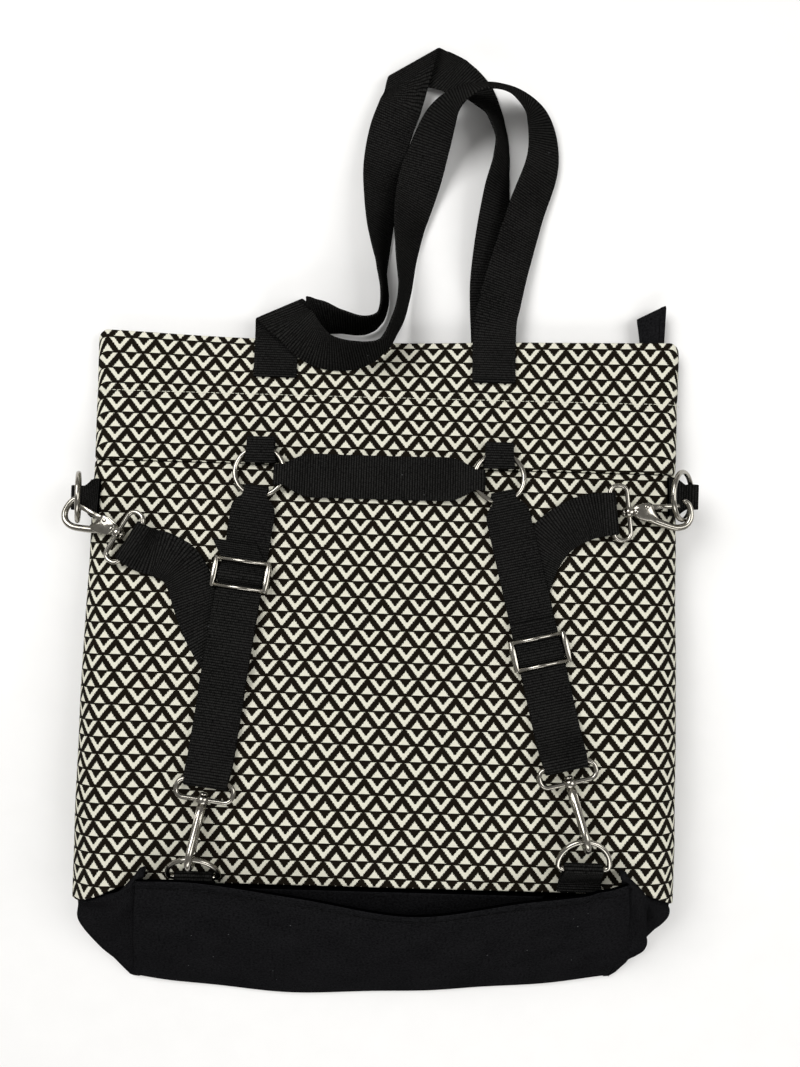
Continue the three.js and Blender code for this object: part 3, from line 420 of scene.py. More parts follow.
def made(name, points, faces, material, lay=None):
    points, faces = outward(points, faces)
    corners = [list(dict.fromkeys(face)) for face in faces.tolist()]
    mesh = bpy.data.meshes.new(name)
    mesh.from_pydata((points * MM).tolist(), [], corners)
    mesh.polygons.foreach_set("use_smooth", [True] * len(mesh.polygons))
    if lay is not None:
        corner_points = np.empty(len(mesh.loops), dtype=np.int32)
        mesh.loops.foreach_get("vertex_index", corner_points)
        layer = mesh.uv_layers.new(name="lay")
        layer.data.foreach_set("uv", lay[corner_points].astype(np.float32).ravel())
    mesh.materials.append(material)
    mesh.update()
    piece = bpy.data.objects.new(name, mesh)
    scene.collection.objects.link(piece)
    return piece


def wear(piece, body, slot, *nodes):
    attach(piece, body)
    if nodes:
        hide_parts(*nodes)
    return piece


def unit(vectors):
    return vectors / np.linalg.norm(vectors, axis=-1, keepdims=True)


def wall_faces(rings, closed=False):
    if closed:
        rings = np.concatenate([rings, rings[:1]])
    turned = np.roll(rings, -1, axis=1)
    return np.stack([rings[:-1], turned[:-1], turned[1:], rings[1:]], -1).reshape(-1, 4)


def capped(rings, poles):
    number = np.arange(rings.shape[0] * rings.shape[1]).reshape(rings.shape[:2])
    faces = [wall_faces(number)]
    for end, pole, order in ((number[0], 0, [1, 0, 2, 3]), (number[-1], 1, [0, 1, 2, 3])):
        tip = np.full(len(end), number.size + pole)
        faces.append(np.stack([end, np.roll(end, -1), tip, tip], -1)[:, order])
    return np.concatenate([rings.reshape(-1, 3), poles]), np.concatenate(faces)


print("mesh helpers ready")


# %% Soft line through a few points
def soft_line(points, per_span=8, closed=False):
    points = np.asarray(points, float)
    count = len(points)
    if closed:
        around = np.concatenate([points[-1:], points, points[:2]])
    else:
        around = np.concatenate([2 * points[:1] - points[1:2], points, 2 * points[-1:] - points[-2:-1]])
    gaps = np.sqrt(np.maximum(np.linalg.norm(np.diff(around, axis=0), axis=1), 1e-4))[:, None]
    line = []
    for k in range(count if closed else count - 1):
        p0, p1, p2, p3 = around[k : k + 4]
        g0, g1, g2 = gaps[k : k + 3]
        lead = ((p1 - p0) / g0 - (p2 - p0) / (g0 + g1) + (p2 - p1) / g1) * g1
        tail = ((p2 - p1) / g1 - (p3 - p1) / (g1 + g2) + (p3 - p2) / g2) * g1
        for t in np.arange(per_span) / per_span:
            rise = t * t * (3 - 2 * t)
            ease = t * (1 - t)
            line.append(p1 + (p2 - p1) * rise + ease * ((1 - t) * lead - t * tail))
    if not closed:
        line.append(points[-1])
    return np.array(line)


def lengths(line):
    steps = np.linalg.norm(np.diff(line, axis=0), axis=1)
    return np.concatenate([[0], np.cumsum(steps)])


def evenly(line, count):
    gone = lengths(line)
    marks = np.linspace(0, gone[-1], count)
    return np.stack([np.interp(marks, gone, line[:, k]) for k in range(line.shape[1])], axis=1)


print("a soft line of", len(soft_line([(0, 0, 0), (1, 0, 0), (2, 1, 0)])), "points")

# %% [markdown]
# ## Cloth sheets
# A panel is a fine grid of points with a second grid one cloth thickness inside it, closed by a rounded
# rim. Folds and puckers are pushed into the grid along its normals before the second layer is made,
# which costs far less time than a cloth simulation for a bag that only sags a little.

# %% Cloth sheet from a grid
RIM_ROUND = 0.45


def grid_normals(grid):
    return unit(np.cross(np.gradient(grid, axis=1), np.gradient(grid, axis=0)))


def cloth_sheet(name, grid, wall, lay, material):
    rows, cols = grid.shape[:2]
    under = grid + wall * grid_normals(grid)
    number = np.arange(rows * cols).reshape(rows, cols)
    ring = np.concatenate([number[0, :-1], number[:-1, -1], number[-1, :0:-1], number[:0:-1, 0]])
    inner_row = np.clip(ring // cols, 1, rows - 2)
    inner_col = np.clip(ring % cols, 1, cols - 2)
    flat = grid.reshape(-1, 3)
    out_way = unit(flat[ring] - flat[number[inner_row, inner_col]])
    rim = (flat[ring] + under.reshape(-1, 3)[ring]) / 2 + RIM_ROUND * abs(wall) * out_way
    points = np.concatenate([flat, under.reshape(-1, 3), rim])
    top = np.stack([number[:-1, :-1], number[:-1, 1:], number[1:, 1:], number[1:, :-1]], -1).reshape(-1, 4)
    size = rows * cols
    rim_at = 2 * size + np.arange(len(ring))
    rim_next = np.roll(rim_at, -1)
    ring_next = np.roll(ring, -1)
    upper_rim = np.stack([ring, rim_at, rim_next, ring_next], -1)
    lower_rim = np.stack([rim_at, ring + size, ring_next + size, rim_next], -1)
    faces = np.concatenate([top, top[:, ::-1] + size, upper_rim, lower_rim])
    lay = lay.reshape(-1, 2)
    return made(name, points, faces, material, np.concatenate([lay, lay, lay[ring]]))


def grid_lay(grid, top_mm=0.0, middle_mm=0.0):
    across = np.linalg.norm(np.diff(grid, axis=1), axis=-1)
    across = np.concatenate([np.zeros((len(grid), 1)), np.cumsum(across, axis=1)], axis=1)
    middle = across[:, across.shape[1] // 2][:, None]
    down = np.linalg.norm(np.diff(grid, axis=0), axis=-1)
    down = np.concatenate([np.zeros((1, grid.shape[1])), np.cumsum(down, axis=0)], axis=0)
    return np.stack([across - middle + middle_mm, down + top_mm], -1)


print("cloth sheet helper ready")

# %% [markdown]
# ## Woven body
# The body is a flat tote, thin at the mouth and filled out towards the base, with rounded side edges.
# The back is two panels joined by a cross seam; the front is one panel that lies on the floor.
# A gentle hollow, small puckers along the seams and soft folds at the lower corners break the smoothness.

# %% Body shape
HALF_WIDTH = 215
MOUTH_Y = 193
HEM_Y = 149
CROSS_SEAM_Y = 97.5
SEAM_HALF = 0.4
WALL = 2.0
EDGE_SHARE = 0.7
SEAM_GAP = 1.5
SIDE_REACH = 1.1
EDGE_ROWS = np.array([0.7, 1.6])
EDGE_BAND = 3
BACK = {
    "y": [-240, -160, -115, -40, 33, 97.5, 150, 193],
    "height": [60, 60, 57, 49, 37, 27, 19, 14],
}
DROP = {"x": [150, 175, 190, 205, 215], "left": [0, 5, 12, 18, 21], "right": [0, 0, 1, 8, 15]}
FRONT_DROP = 2 / 3
DROP_FROM_Y = -140
DROP_LONG = {"back": 53, "front": 60}
CORNER = {"from_x": 205.5, "radius": 9.5, "fade": 25}
FRONT_LIFT = {"y": [125, 158], "lift": [0, 2.2]}
MOUTH_DIP = {"x": [-215, -100, 0, 95, 215], "y": [1.6, -2.2, -2.8, 0, 3]}
MOUTH_FADE = 60
FLARE = {"from_y": 88, "out": 2.5}


def back_height(y):
    return np.interp(y, BACK["y"], BACK["height"])


def lower_drop(u, x):
    left = np.interp(x, DROP["x"], DROP["left"])
    right = np.interp(x, DROP["x"], DROP["right"])
    return np.where(u < 0, left, right)


def corner_drop(x, row_y):
    into = np.clip((x - CORNER["from_x"]) / CORNER["radius"], 0, 1)
    near_mouth = np.clip((row_y - MOUTH_Y + CORNER["fade"]) / CORNER["fade"], 0, 1)
    return near_mouth * CORNER["radius"] * (1 - np.sqrt(1 - into**2))


def side_turn(u):
    return np.clip((np.abs(u) - EDGE_SHARE) / (1 - EDGE_SHARE), 0, 1) * np.pi / 2


def back_cloth(u, row_y):
    rise = back_height(row_y) / 2
    reach = SIDE_REACH * rise
    x = (HALF_WIDTH - reach) * np.minimum(1, np.abs(u) / EDGE_SHARE) + reach * np.sin(side_turn(u))
    late = np.clip((DROP_FROM_Y - row_y) / DROP_LONG["back"], 0, 1)
    y = row_y - late * lower_drop(u, x) - corner_drop(x, row_y)
    return np.stack([np.sign(u) * x, y, rise + rise * np.cos(side_turn(u))], -1)


def front_cloth(u, row_y):
    lift = np.interp(row_y, FRONT_LIFT["y"], FRONT_LIFT["lift"])
    rise = back_height(row_y) / 2 - SEAM_GAP - lift
    x = (HALF_WIDTH - rise) * np.minimum(1, np.abs(u) / EDGE_SHARE) + rise * np.sin(side_turn(u))
    late = np.clip((DROP_FROM_Y - row_y) / DROP_LONG["front"], 0, 1)
    y = row_y - FRONT_DROP * late * lower_drop(u, x) - corner_drop(x, row_y)
    return np.stack([np.sign(u) * x, y, lift + rise * (1 - np.cos(side_turn(u)))], -1)


def panel_grid(point, from_y, to_y, step=3.5, columns=132):
    count = int(abs(to_y - from_y) / step) + 1
    way = np.sign(to_y - from_y)
    inside = np.linspace(from_y + EDGE_BAND * way, to_y - EDGE_BAND * way, count)
    after = from_y + EDGE_ROWS * way
    before = to_y - EDGE_ROWS[::-1] * way
    row_y = np.concatenate([[from_y], after, inside, before, [to_y]])
    u = np.linspace(-1, 1, columns + 1)
    return point(u[None, :], row_y[:, None])


dip_line = soft_line(np.stack([MOUTH_DIP["x"], MOUTH_DIP["y"]], -1), 12)


def slack_mouth(grid):
    x = grid[..., 0]
    y = grid[..., 1]
    near = np.clip((y - MOUTH_Y + MOUTH_FADE) / MOUTH_FADE, 0, 1) ** 2
    out = np.clip((y - FLARE["from_y"]) / (MOUTH_Y - FLARE["from_y"]), 0, 1)
    dip = near * np.interp(x, dip_line[:, 0], dip_line[:, 1])
    return grid + np.stack([FLARE["out"] * out * x / HALF_WIDTH, dip, 0 * x], -1)


print("mouth", 2 * HALF_WIDTH, "mm wide, base", back_height(-160), "mm deep")

# %% Sag, folds and puckers of the back
SAG = {
    "hollow": 3.2, "slack": 0.9, "corner_fold": 2.4, "side_ripple": 0.8,
    "seam_pucker": 0.45, "seam_roll": 1.3, "hem_groove": 0.45, "mouth_wave": 0.7,
}


def bell(value, middle, spread):
    return np.exp(-(((value - middle) / spread) ** 2))


def back_sag(grid):
    x = grid[..., 0]
    y = grid[..., 1]
    hollow = SAG["hollow"] * bell(x, -15, 95) * bell(y, -55, 85)
    billow = (1 + np.sin(x / 31 + y / 47) * np.sin(y / 39 - x / 63)) / 2
    slack = SAG["slack"] * bell(y, 30, 150) * billow
    corner_fold = 0.0 * x
    for sign, heading in ((-1, 0.62), (1, 0.5)):
        along = (y + 150) * heading + (sign * x - 168)
        corner_fold += SAG["corner_fold"] * bell(along, 0, 9) * bell(y, -120, 50) * (sign * x > 60)
    side_ripple = SAG["side_ripple"] * bell(np.abs(x), 196, 16) * (1 + np.sin(y / 11 + np.sign(x))) / 2
    gathers = (1 + np.sin(x / 2.4 + np.sin(x / 17))) / 2
    seam_pucker = SAG["seam_pucker"] * bell(y, CROSS_SEAM_Y, 7) * gathers
    seam_roll = SAG["seam_roll"] * bell(y, CROSS_SEAM_Y, 1.3)
    hem_groove = SAG["hem_groove"] * bell(y, HEM_Y, 2.2) * (1 + 0.5 * np.sin(x / 2.1 + np.sin(x / 13)))
    mouth_wave = SAG["mouth_wave"] * bell(y, MOUTH_Y, 16) * (1 + np.sin(x / 23 + 1)) / 2
    return hollow + slack + corner_fold + side_ripple + seam_pucker + seam_roll + hem_groove + mouth_wave


def sagged(grid):
    return grid + grid_normals(grid) * back_sag(grid)[..., None]


ROW_TOP_UPPER = 188.6
ROW_TOP_LOWER = 93.0
JUNCTION_X = 147.8
SEAM_STEP = 0.28
BACK_FOOT_Y = -193
FRONT_FOOT_Y = -200
upper_grid = panel_grid(back_cloth, MOUTH_Y, CROSS_SEAM_Y + SEAM_HALF)
lower_grid = panel_grid(back_cloth, CROSS_SEAM_Y - SEAM_HALF, BACK_FOOT_Y)
print("deepest sag", round(float(back_sag(lower_grid).max()), 1), "mm")

# %% Back and front panels
upper_phase = REPEAT_MM / 2 - JUNCTION_X
upper_lay = grid_lay(upper_grid, ROW_TOP_UPPER - MOUTH_Y, upper_phase)
lower_lay = grid_lay(lower_grid, ROW_TOP_LOWER - CROSS_SEAM_Y, upper_phase + SEAM_STEP * REPEAT_MM)
back_upper = cloth_sheet("woven_back_upper", slack_mouth(sagged(upper_grid)), WALL, upper_lay, jacquard)
back_lower = cloth_sheet("woven_back_lower", slack_mouth(sagged(lower_grid)), WALL, lower_lay, jacquard)
front_grid = panel_grid(front_cloth, MOUTH_Y, FRONT_FOOT_Y, step=5, columns=110)
front_panel = cloth_sheet("woven_front", slack_mouth(front_grid), -WALL, grid_lay(front_grid), jacquard)
wear(back_upper, "bag", "jacquard", "back_upper")
wear(back_lower, "bag", "jacquard", "back_lower")
wear(front_panel, "bag", "jacquard", "front_panel")
print("woven panels", len(back_lower.data.polygons), "faces in the largest")

# %% [markdown]
# ## Folded canvas base
# The base is a box of black canvas folded flat against the back: a bottom panel whose top edge stands up
# as a lip, two gussets creased at the sides, a strip that goes down behind the lip, and the front part on
# the floor. The bottom panel and the gussets are sheets between two soft edge lines, with broad waves and
# their own crease lines. The strip and the front part are smooth.

# %% Bottom panel with its lip
LIP = {
    "x": [-157, -120, -49, 29, 101, 149, 171],
    "y": [-187, -186, -196, -208, -195, -187, -181],
    "z": [75, 77, 74, 70, 74, 76, 74],
}
TOE = {
    "x": [-178, -140, -60, 20, 90, 140, 178],
    "y": [-288, -293, -299, -296, -291, -285, -279],
    "z": [5, 4, 3, 3, 3, 4, 5],
}
LIP_HEM = 7.0
BASE_SAG = {"broad": 0.9, "fine": 0.5, "ridge": 0.5, "groove": 0.55, "pucker": 0.28, "dent": 2.2}
BASE_SWELL = 4
WAVE_FADE = {"within": 20, "share": 0.8}
LIP_SEWN = {"lift": 0.35, "clear_columns": 3}
OUT_OF_BASE = np.array([0, -0.55, 0.83])
SEAM_BOW = {"left": 0.0, "right": 6.2}
SEAM_BOW_REACH = {"from_x": 120, "wide": 55}


def edge_line(table, count):
    points = np.stack([table["x"], table["y"], table["z"]], -1)
    return evenly(soft_line(points, 12), count)


BOTTOM_COLUMNS = 121
lip = edge_line(LIP, BOTTOM_COLUMNS)
toe = edge_line(TOE, BOTTOM_COLUMNS)
bottom_share = np.concatenate([np.linspace(0, 0.12, 16), np.linspace(0.135, 1, 34)])[:, None, None]
bottom_grid = lip + (toe - lip) * bottom_share
swell = BASE_SWELL * np.sin(np.pi * bottom_share)
bottom_grid = bottom_grid + swell * OUT_OF_BASE
near_right = np.clip((bottom_grid[..., 0] - SEAM_BOW_REACH["from_x"]) / SEAM_BOW_REACH["wide"], 0, 1) ** 2
bottom_grid[..., 0] += SEAM_BOW["right"] * np.sin(np.pi * bottom_share[..., 0]) * near_right
bottom_lay = grid_lay(bottom_grid)
below_lip = bottom_lay[..., 1]
x = bottom_grid[..., 0]
broad = BASE_SAG["broad"] * np.sin(x / 37 + 0.6) * np.sin(np.pi * bottom_share[..., 0])
waves = broad + BASE_SAG["fine"] * np.sin(x / 15 + below_lip / 22)
hem_ridge = BASE_SAG["ridge"] * bell(below_lip, 3.2, 3) - BASE_SAG["groove"] * bell(below_lip, LIP_HEM, 1.0)
pucker = -BASE_SAG["pucker"] * bell(below_lip, LIP_HEM, 3.5) * np.sin(x / 2.2)
dent = -BASE_SAG["dent"] * bell(x, 152, 5) * bell(below_lip, 12, 14)
lift = waves * np.clip(below_lip / WAVE_FADE["within"], 0, 1) * WAVE_FADE["share"] + hem_ridge + dent
way_in = grid_normals(bottom_grid)
lip_row = np.argmin(np.abs(below_lip[:, BOTTOM_COLUMNS // 2] - LIP_HEM))
lip_line = (bottom_grid - way_in * (lift + LIP_SEWN["lift"])[..., None])[lip_row]
lip_line = lip_line[LIP_SEWN["clear_columns"] : -LIP_SEWN["clear_columns"]]
bottom_grid = bottom_grid - way_in * (lift + pucker)[..., None]
base_bottom = cloth_sheet("canvas_bottom", bottom_grid, WALL, bottom_lay, canvas)
wear(base_bottom, "bag", "canvas", "base_bottom")
print("lip", round(lengths(lip)[-1]), "mm long, toe", round(lengths(toe)[-1]), "mm")

# %% Strip behind the lip
STRIP_START = {"y": -196.6, "z": 59.4}
STRIP = {
    "share": [0, 0.5, 1, 1, 1, 1],
    "y": [-20, -20, -20, -22.5, -16, -11],
    "z": [-24, -24, -24, -21.5, -17, -14],
}
STRIP_SPAN = (0.05, 0.84)
strip_first, strip_last = (int(part * BOTTOM_COLUMNS) for part in STRIP_SPAN)
strip_edge = lip[strip_first:strip_last]
strip_rows = []
for share, out_y, out_z in zip(STRIP["share"], STRIP["y"], STRIP["z"]):
    row_y = STRIP_START["y"] + (strip_edge[:, 1] + out_y - STRIP_START["y"]) * share
    row_z = STRIP_START["z"] + (strip_edge[:, 2] + out_z - STRIP_START["z"]) * share
    strip_rows.append(np.stack([strip_edge[:, 0], row_y, row_z], -1))
strip_lines = [soft_line([row[k] for row in strip_rows], 6) for k in range(len(strip_edge))]
strip_grid = np.stack(strip_lines, 1)
base_back = cloth_sheet("canvas_strip", strip_grid, WALL, grid_lay(strip_grid), canvas)
wear(base_back, "bag", "canvas", "base_back")

# %% Gussets
GUSSET = {
    "left": {
        "top": {
            "x": [-161.5, -175, -192, -206, -213.6],
            "y": [-191, -203, -210.5, -215.5, -216.5],
            "z": [72, 64.5, 56, 45, 31],
        },
        "floor": {
            "x": [-181.5, -192, -204, -211.5, -214.8],
            "y": [-287.5, -277.5, -266, -252, -232],
            "z": [5, 4, 5, 10, 22],
        },
    },
    "right": {
        "top": {
            "x": [174.5, 183, 193, 206, 213.6],
            "y": [-183.5, -190, -200.5, -206, -212],
            "z": [71.5, 66.5, 57, 45, 31],
        },
        "floor": {
            "x": [178.5, 183.5, 188, 200, 204, 205, 211.5, 214.5, 215],
            "y": [-280, -277, -271.5, -263.5, -257, -252, -243, -233, -218],
            "z": [4, 3, 3.6, 2.6, 2.8, 4.4, 6, 10, 22],
        },
    },
}
TUCK = {"across": [0, 0.25, 0.5, 0.75, 1], "y": [3.5, 2, 3.5, 5, 5.5], "z": [-8, -4, -4, -4, 0]}
GUSSET_SWELL = 3
GUSSET_COLUMNS = 49
GUSSET_ROWS = 57
SEAM_GROOVE = {"out": 1.0, "deep": 2.8, "under": 3.0, "under_deep": 4.4, "toe": 0.8}
OUT_OF_TOE = np.array([0, -0.35, -0.2])
PUFF_WAY = {"out": 0.6, "y": -0.6, "z": 0.5}
TUCK_IN = 0.012
CUT_COLUMN = 12


def left_folds(across, deep):
    crease = 2.4 * np.tanh((deep - 0.05 - 0.5 * across) / 0.07)
    return crease + 1.2 * np.sin(8 * deep + 5 * across)


def right_folds(across, deep):
    roll = 3.4 * bell(across, 0.13, 0.1)
    recess = -7.0 * bell(across - 0.25 * deep, 0.3, 0.09) * bell(deep, 0.48, 0.36)
    side_lump = 3.0 * bell(across - 0.1 * deep, 0.74, 0.15)
    low_lump = 2.4 * bell(across, 0.38, 0.11) * bell(deep, 0.9, 0.22)
    nick = -2.6 * bell(across, 0.24, 0.05) * bell(deep, 0.95, 0.2)
    return roll + recess + side_lump + low_lump + nick


def gusset(name, edges, side, seam_edge, folds, bow):
    t = np.linspace(0, 1, GUSSET_COLUMNS)
    v = np.linspace(0, 1, GUSSET_ROWS)[:, None, None]
    top = edge_line(edges["top"], GUSSET_COLUMNS)
    low = edge_line(edges["floor"], GUSSET_COLUMNS)
    puff = GUSSET_SWELL * np.sin(np.pi * v) * np.sin(np.pi * t)[None, :, None]
    puff_way = np.array([PUFF_WAY["out"] * side, PUFF_WAY["y"], PUFF_WAY["z"]])
    cells = top + (low - top) * v + puff * puff_way
    cells[..., 0] += side * bow * np.sin(np.pi * v[..., 0]) * (1 - t) ** 2
    across = np.broadcast_to(t, cells.shape[:2])
    deep = np.broadcast_to(v[..., 0], cells.shape[:2])
    held = np.sin(np.pi * np.clip(across, 0.02, 1)) ** 0.6
    held = held * np.clip(5 * deep, 0, 1) * np.clip(7 * (1.06 - deep), 0, 1)
    cells = cells - side * grid_normals(cells) * (folds(across, deep) * held)[..., None]
    seam = evenly(seam_edge, GUSSET_ROWS)
    to_toe = np.clip((v[:, 0] - SEAM_GROOVE["toe"]) / (1 - SEAM_GROOVE["toe"]), 0, 1)
    inward = -OUT_OF_BASE * (1 - to_toe) + OUT_OF_TOE * to_toe
    beside = seam + np.array([SEAM_GROOVE["out"] * side, 0, 0]) + SEAM_GROOVE["deep"] * inward
    tucked = seam - np.array([SEAM_GROOVE["under"] * side, 0, 0]) + SEAM_GROOVE["under_deep"] * inward
    under_cloth = np.stack([
        -side * TUCK_IN * HALF_WIDTH * t,
        np.interp(t, TUCK["across"], TUCK["y"]),
        np.interp(t, TUCK["across"], TUCK["z"]),
    ], -1)
    wide = np.concatenate([tucked[:, None], beside[:, None], cells], axis=1)
    hidden_row = wide[:1].copy()
    hidden_row[0, 2:] += under_cloth
    hidden_row[0, :2] += under_cloth[0]
    wide = np.concatenate([hidden_row, wide])
    piece = cloth_sheet(name, wide, side * WALL, grid_lay(wide), canvas)
    cut = (lengths(wide[GUSSET_ROWS // 2])[-1] * MM, lengths(wide[:, CUT_COLUMN])[-1] * MM)
    return piece, cut


SEAM_SIDES = {"left": (-1, bottom_grid[:, 0], left_folds), "right": (1, bottom_grid[:, -1], right_folds)}
for side_name, (side, seam_edge, folds) in SEAM_SIDES.items():
    gusset_name = "canvas_gusset_" + side_name
    piece, cut = gusset(gusset_name, GUSSET[side_name], side, seam_edge, folds, SEAM_BOW[side_name])
    wear(piece, "bag", "canvas", "base_side_" + side_name)
    print("gusset", side_name, [round(c / MM) for c in cut])

# %% Front part of the base
FLOOR_HALF = {
    "y": [-290, -270, -258, -245, -225, -214, -200],
    "half": [168, 184, 194, 203, 207, 210, 213],
}
u = np.linspace(-1, 1, 111)
v = np.linspace(0, 1, 26)[:, None]
FLOOR_GAP = 2
TOE_INSET = {"x": 170, "y": 5}
start = front_cloth(u, np.full_like(u, FRONT_FOOT_Y)) + np.array([0, -FLOOR_GAP, 0])
end_y = np.interp(TOE_INSET["x"] * u, TOE["x"], TOE["y"]) + TOE_INSET["y"]
y = start[:, 1] + (end_y - start[:, 1]) * v
half = np.interp(y, FLOOR_HALF["y"], FLOOR_HALF["half"])
x = start[:, 0] + (u * half - start[:, 0]) * np.minimum(1, 3 * v)
x = np.clip(x, -half, half)
front_base = np.stack([x, y, start[:, 2] * (1 - v) ** 3], -1)
base_front = cloth_sheet("canvas_front", front_base, -WALL, grid_lay(front_base), canvas)
wear(base_front, "bag", "canvas", "base_front")
print("front part", len(base_front.data.polygons), "faces")

# %% [markdown]
# ## Webbing
# All straps are one 32 mm cotton webbing. A strap is two edge lines with a flat rounded section swept
# between them, so it can twist, lean and fold while its width stays true. Its UV map runs in millimetres
# along the strap, which keeps the ribs square to it everywhere.

# %% Webbing strip
WEB = 32
THICK = 1.6
SECTION_OVER = np.array([-1, -0.985, -0.95, -0.5, 0, 0.5, 0.95, 0.985])
SECTION_RISE = np.array([0, 0.7, 1, 1, 1, 1, 1, 0.7])


def webbing(name, left, right):
    over = np.concatenate([SECTION_OVER, -SECTION_OVER])
    rise = np.concatenate([SECTION_RISE, -SECTION_RISE])
    middle = (left + right) / 2
    half = (right - left) / 2
    up = unit(np.cross(half, np.gradient(middle, axis=0))) * THICK / 2
    points = middle[:, None] + half[:, None] * over[None, :, None] + up[:, None] * rise[None, :, None]
    count, around = points.shape[:2]
    number = np.arange(count * around).reshape(count, around)
    caps = []
    for ends, way in ((number[0], 1), (number[-1], -1)):
        for k in range(8):
            face = [ends[k], ends[k + 1], ends[-(k + 1) % 16], ends[-k % 16]]
            caps.append(face[::way])
    gone = lengths(middle)
    width = np.linalg.norm(half, axis=1)
    lay = np.stack(np.broadcast_arrays(width[:, None] * over, gone[:, None]), -1).reshape(-1, 2)
    faces = np.concatenate([wall_faces(number), np.array(caps)])
    piece = made(name, points.reshape(-1, 3), faces, webbing_cloth, lay)
    return piece, gone[-1]


def strap(name, left, right, node, held, rests_on, fine=4):
    piece, run = webbing(name, soft_line(left, fine), soft_line(right, fine))
    wear(piece, "bag", "webbing", node)
    print(name, round(run), "mm of webbing")


print("section of", 2 * len(SECTION_OVER), "points")

# %% [markdown]
# ## Handles
# Each handle starts flat on its panel, folds over itself at the mouth, and rises as a loop that leans on
# its edge before it comes down flat on the other side. The stations give the webbing's middle and its lean.

# %% Handle stations
PATCH = {"left": -83, "right": 78, "end": 162, "gap": 0.2}
BACK_LOOP = {
    "x": [-68, -57, -42, -22, -5, 5, 10, 11, 13, 18, 25, 38, 58, 82, 104, 111, 99, 87, 79],
    "y": [199, 187, 178.5, 177, 183, 202, 226, 258, 282, 307, 333, 361, 372, 374, 361, 332, 290, 246, 212],
    "z": [24.5, 27, 30, 32.5, 33, 30, 20, 16.5, 14, 10, 11, 24, 32, 27, 18, 13, 12, 13.7, 15.5],
    "lean": [10, 30, 52, 66, 84, 82, 76, 60, 43, 18, -14, -38, -55, -54, -43, -36, -28, -18, -4],
}
FRONT_RISE = {
    "x": [-62, -50, -36, -19, -8, -4, -7, -9, -9, -8, -3, 3.6],
    "y": [208.5, 208, 204.5, 202, 207, 222, 246, 272, 299, 321, 349, 368.5],
    "z": [7.4, 15, 17.5, 17.5, 17.5, 17, 16.4, 14.6, 12.5, 10.5, 9.5, 9.5],
    "lean": [6, 56, 72, 80, 88, 82, 78, 58, 40, 26, 11, 3],
}
FRONT_FALL = {
    "x": [43, 51.5, 59.5, 67, 74.5, 80, 79.5, 77.5, 76, 74.5, 74.5, 76],
    "y": [395.8, 389.6, 382, 371, 358, 338.5, 322.5, 305, 283, 258, 238, 219],
    "z": [4.4, 5.8, 8, 12, 15, 16, 15.5, 13.6, 11.2, 8.8, 5.8, 3.2],
    "lean": [-8, -15, -25, -42, -58, -66, -62, -50, -38, -28, -16, -6],
}
FOLDS = {
    "back": {"at": (-83, 207.6, 15.4), "crease": 23, "heading": 90, "radius": 2.8, "way": 1, "after": 6},
    "front": {"at": (-83, 213.4, 1), "crease": 24.5, "heading": 90, "radius": 2.6, "way": 1, "after": 6},
    "top": {"at": (11.5, 398.4, 9.4), "crease": 31, "heading": 78, "radius": 3.2, "way": -1, "after": 1.5},
}


def run_edges(table, per_span=4):
    middle = soft_line(np.stack([table["x"], table["y"], table["z"]], -1), per_span)
    marks = np.arange(len(middle)) / per_span
    lean = np.radians(np.interp(marks, np.arange(len(table["lean"])), table["lean"]))[:, None]
    run = unit(np.gradient(middle, axis=0))
    left = unit(np.stack([-run[:, 1], run[:, 0], 0 * run[:, 0]], -1))
    across = left * np.cos(lean) + np.cross(run, left) * np.sin(lean)
    return middle + across * WEB / 2, middle - across * WEB / 2


def fold_edges(at, crease, heading, radius, way, after):
    along = np.array([math.cos(math.radians(crease)), math.sin(math.radians(crease)), 0])
    ahead = np.array([-along[1], along[0], 0])
    run = np.array([math.cos(math.radians(heading)), math.sin(math.radians(heading)), 0])
    left = np.array([-run[1], run[0], 0])
    half_turn = math.pi * radius
    turning = np.linspace(0, half_turn, 9)
    places = np.concatenate([[-6, -2], turning, [half_turn + after / 3, half_turn + after]])
    turn = np.clip(places / radius, 0, math.pi)[:, None]
    beyond = (np.minimum(places, 0) - np.maximum(places - half_turn, 0))[:, None]
    edges = []
    for w in (WEB / 2, -WEB / 2):
        s = ((places - w * left.dot(ahead)) / run.dot(ahead))[:, None]
        edge = np.array(at) + along * (s * run.dot(along) + w * left.dot(along))
        edge = edge + ahead * (radius * np.sin(turn) + beyond)
        edge = edge + np.array([0, 0, way]) * radius * (1 - np.cos(turn))
        edges.append(edge)
    return edges


def patch_edges(x, heights, leaving):
    left = np.array([(x - WEB / 2, y, z) for y, z in heights])
    right = left + np.array([WEB, 0, 0])
    return (left, right) if leaving else (right[::-1], left[::-1])


def chained(*runs):
    return [np.concatenate([run[k] for run in runs]) for k in (0, 1)]


def swapped(run):
    return run[1], run[0]


LIFT = {"under": 1.3, "second": 3.3, "wire": 4.35, "over": 7.4}
patch_lift = LIFT["under"] + PATCH["gap"]
FRONT_PATCH_Z = 1.0
patch_on_back = [(y, back_height(y) + patch_lift) for y in (PATCH["end"], 171, 180, MOUTH_Y - 1)]
patch_on_front = [(y, FRONT_PATCH_Z) for y in (PATCH["end"], 171, 180, MOUTH_Y + 2)]
print("handle stations", len(BACK_LOOP["x"]), len(FRONT_RISE["x"]) + len(FRONT_FALL["x"]))

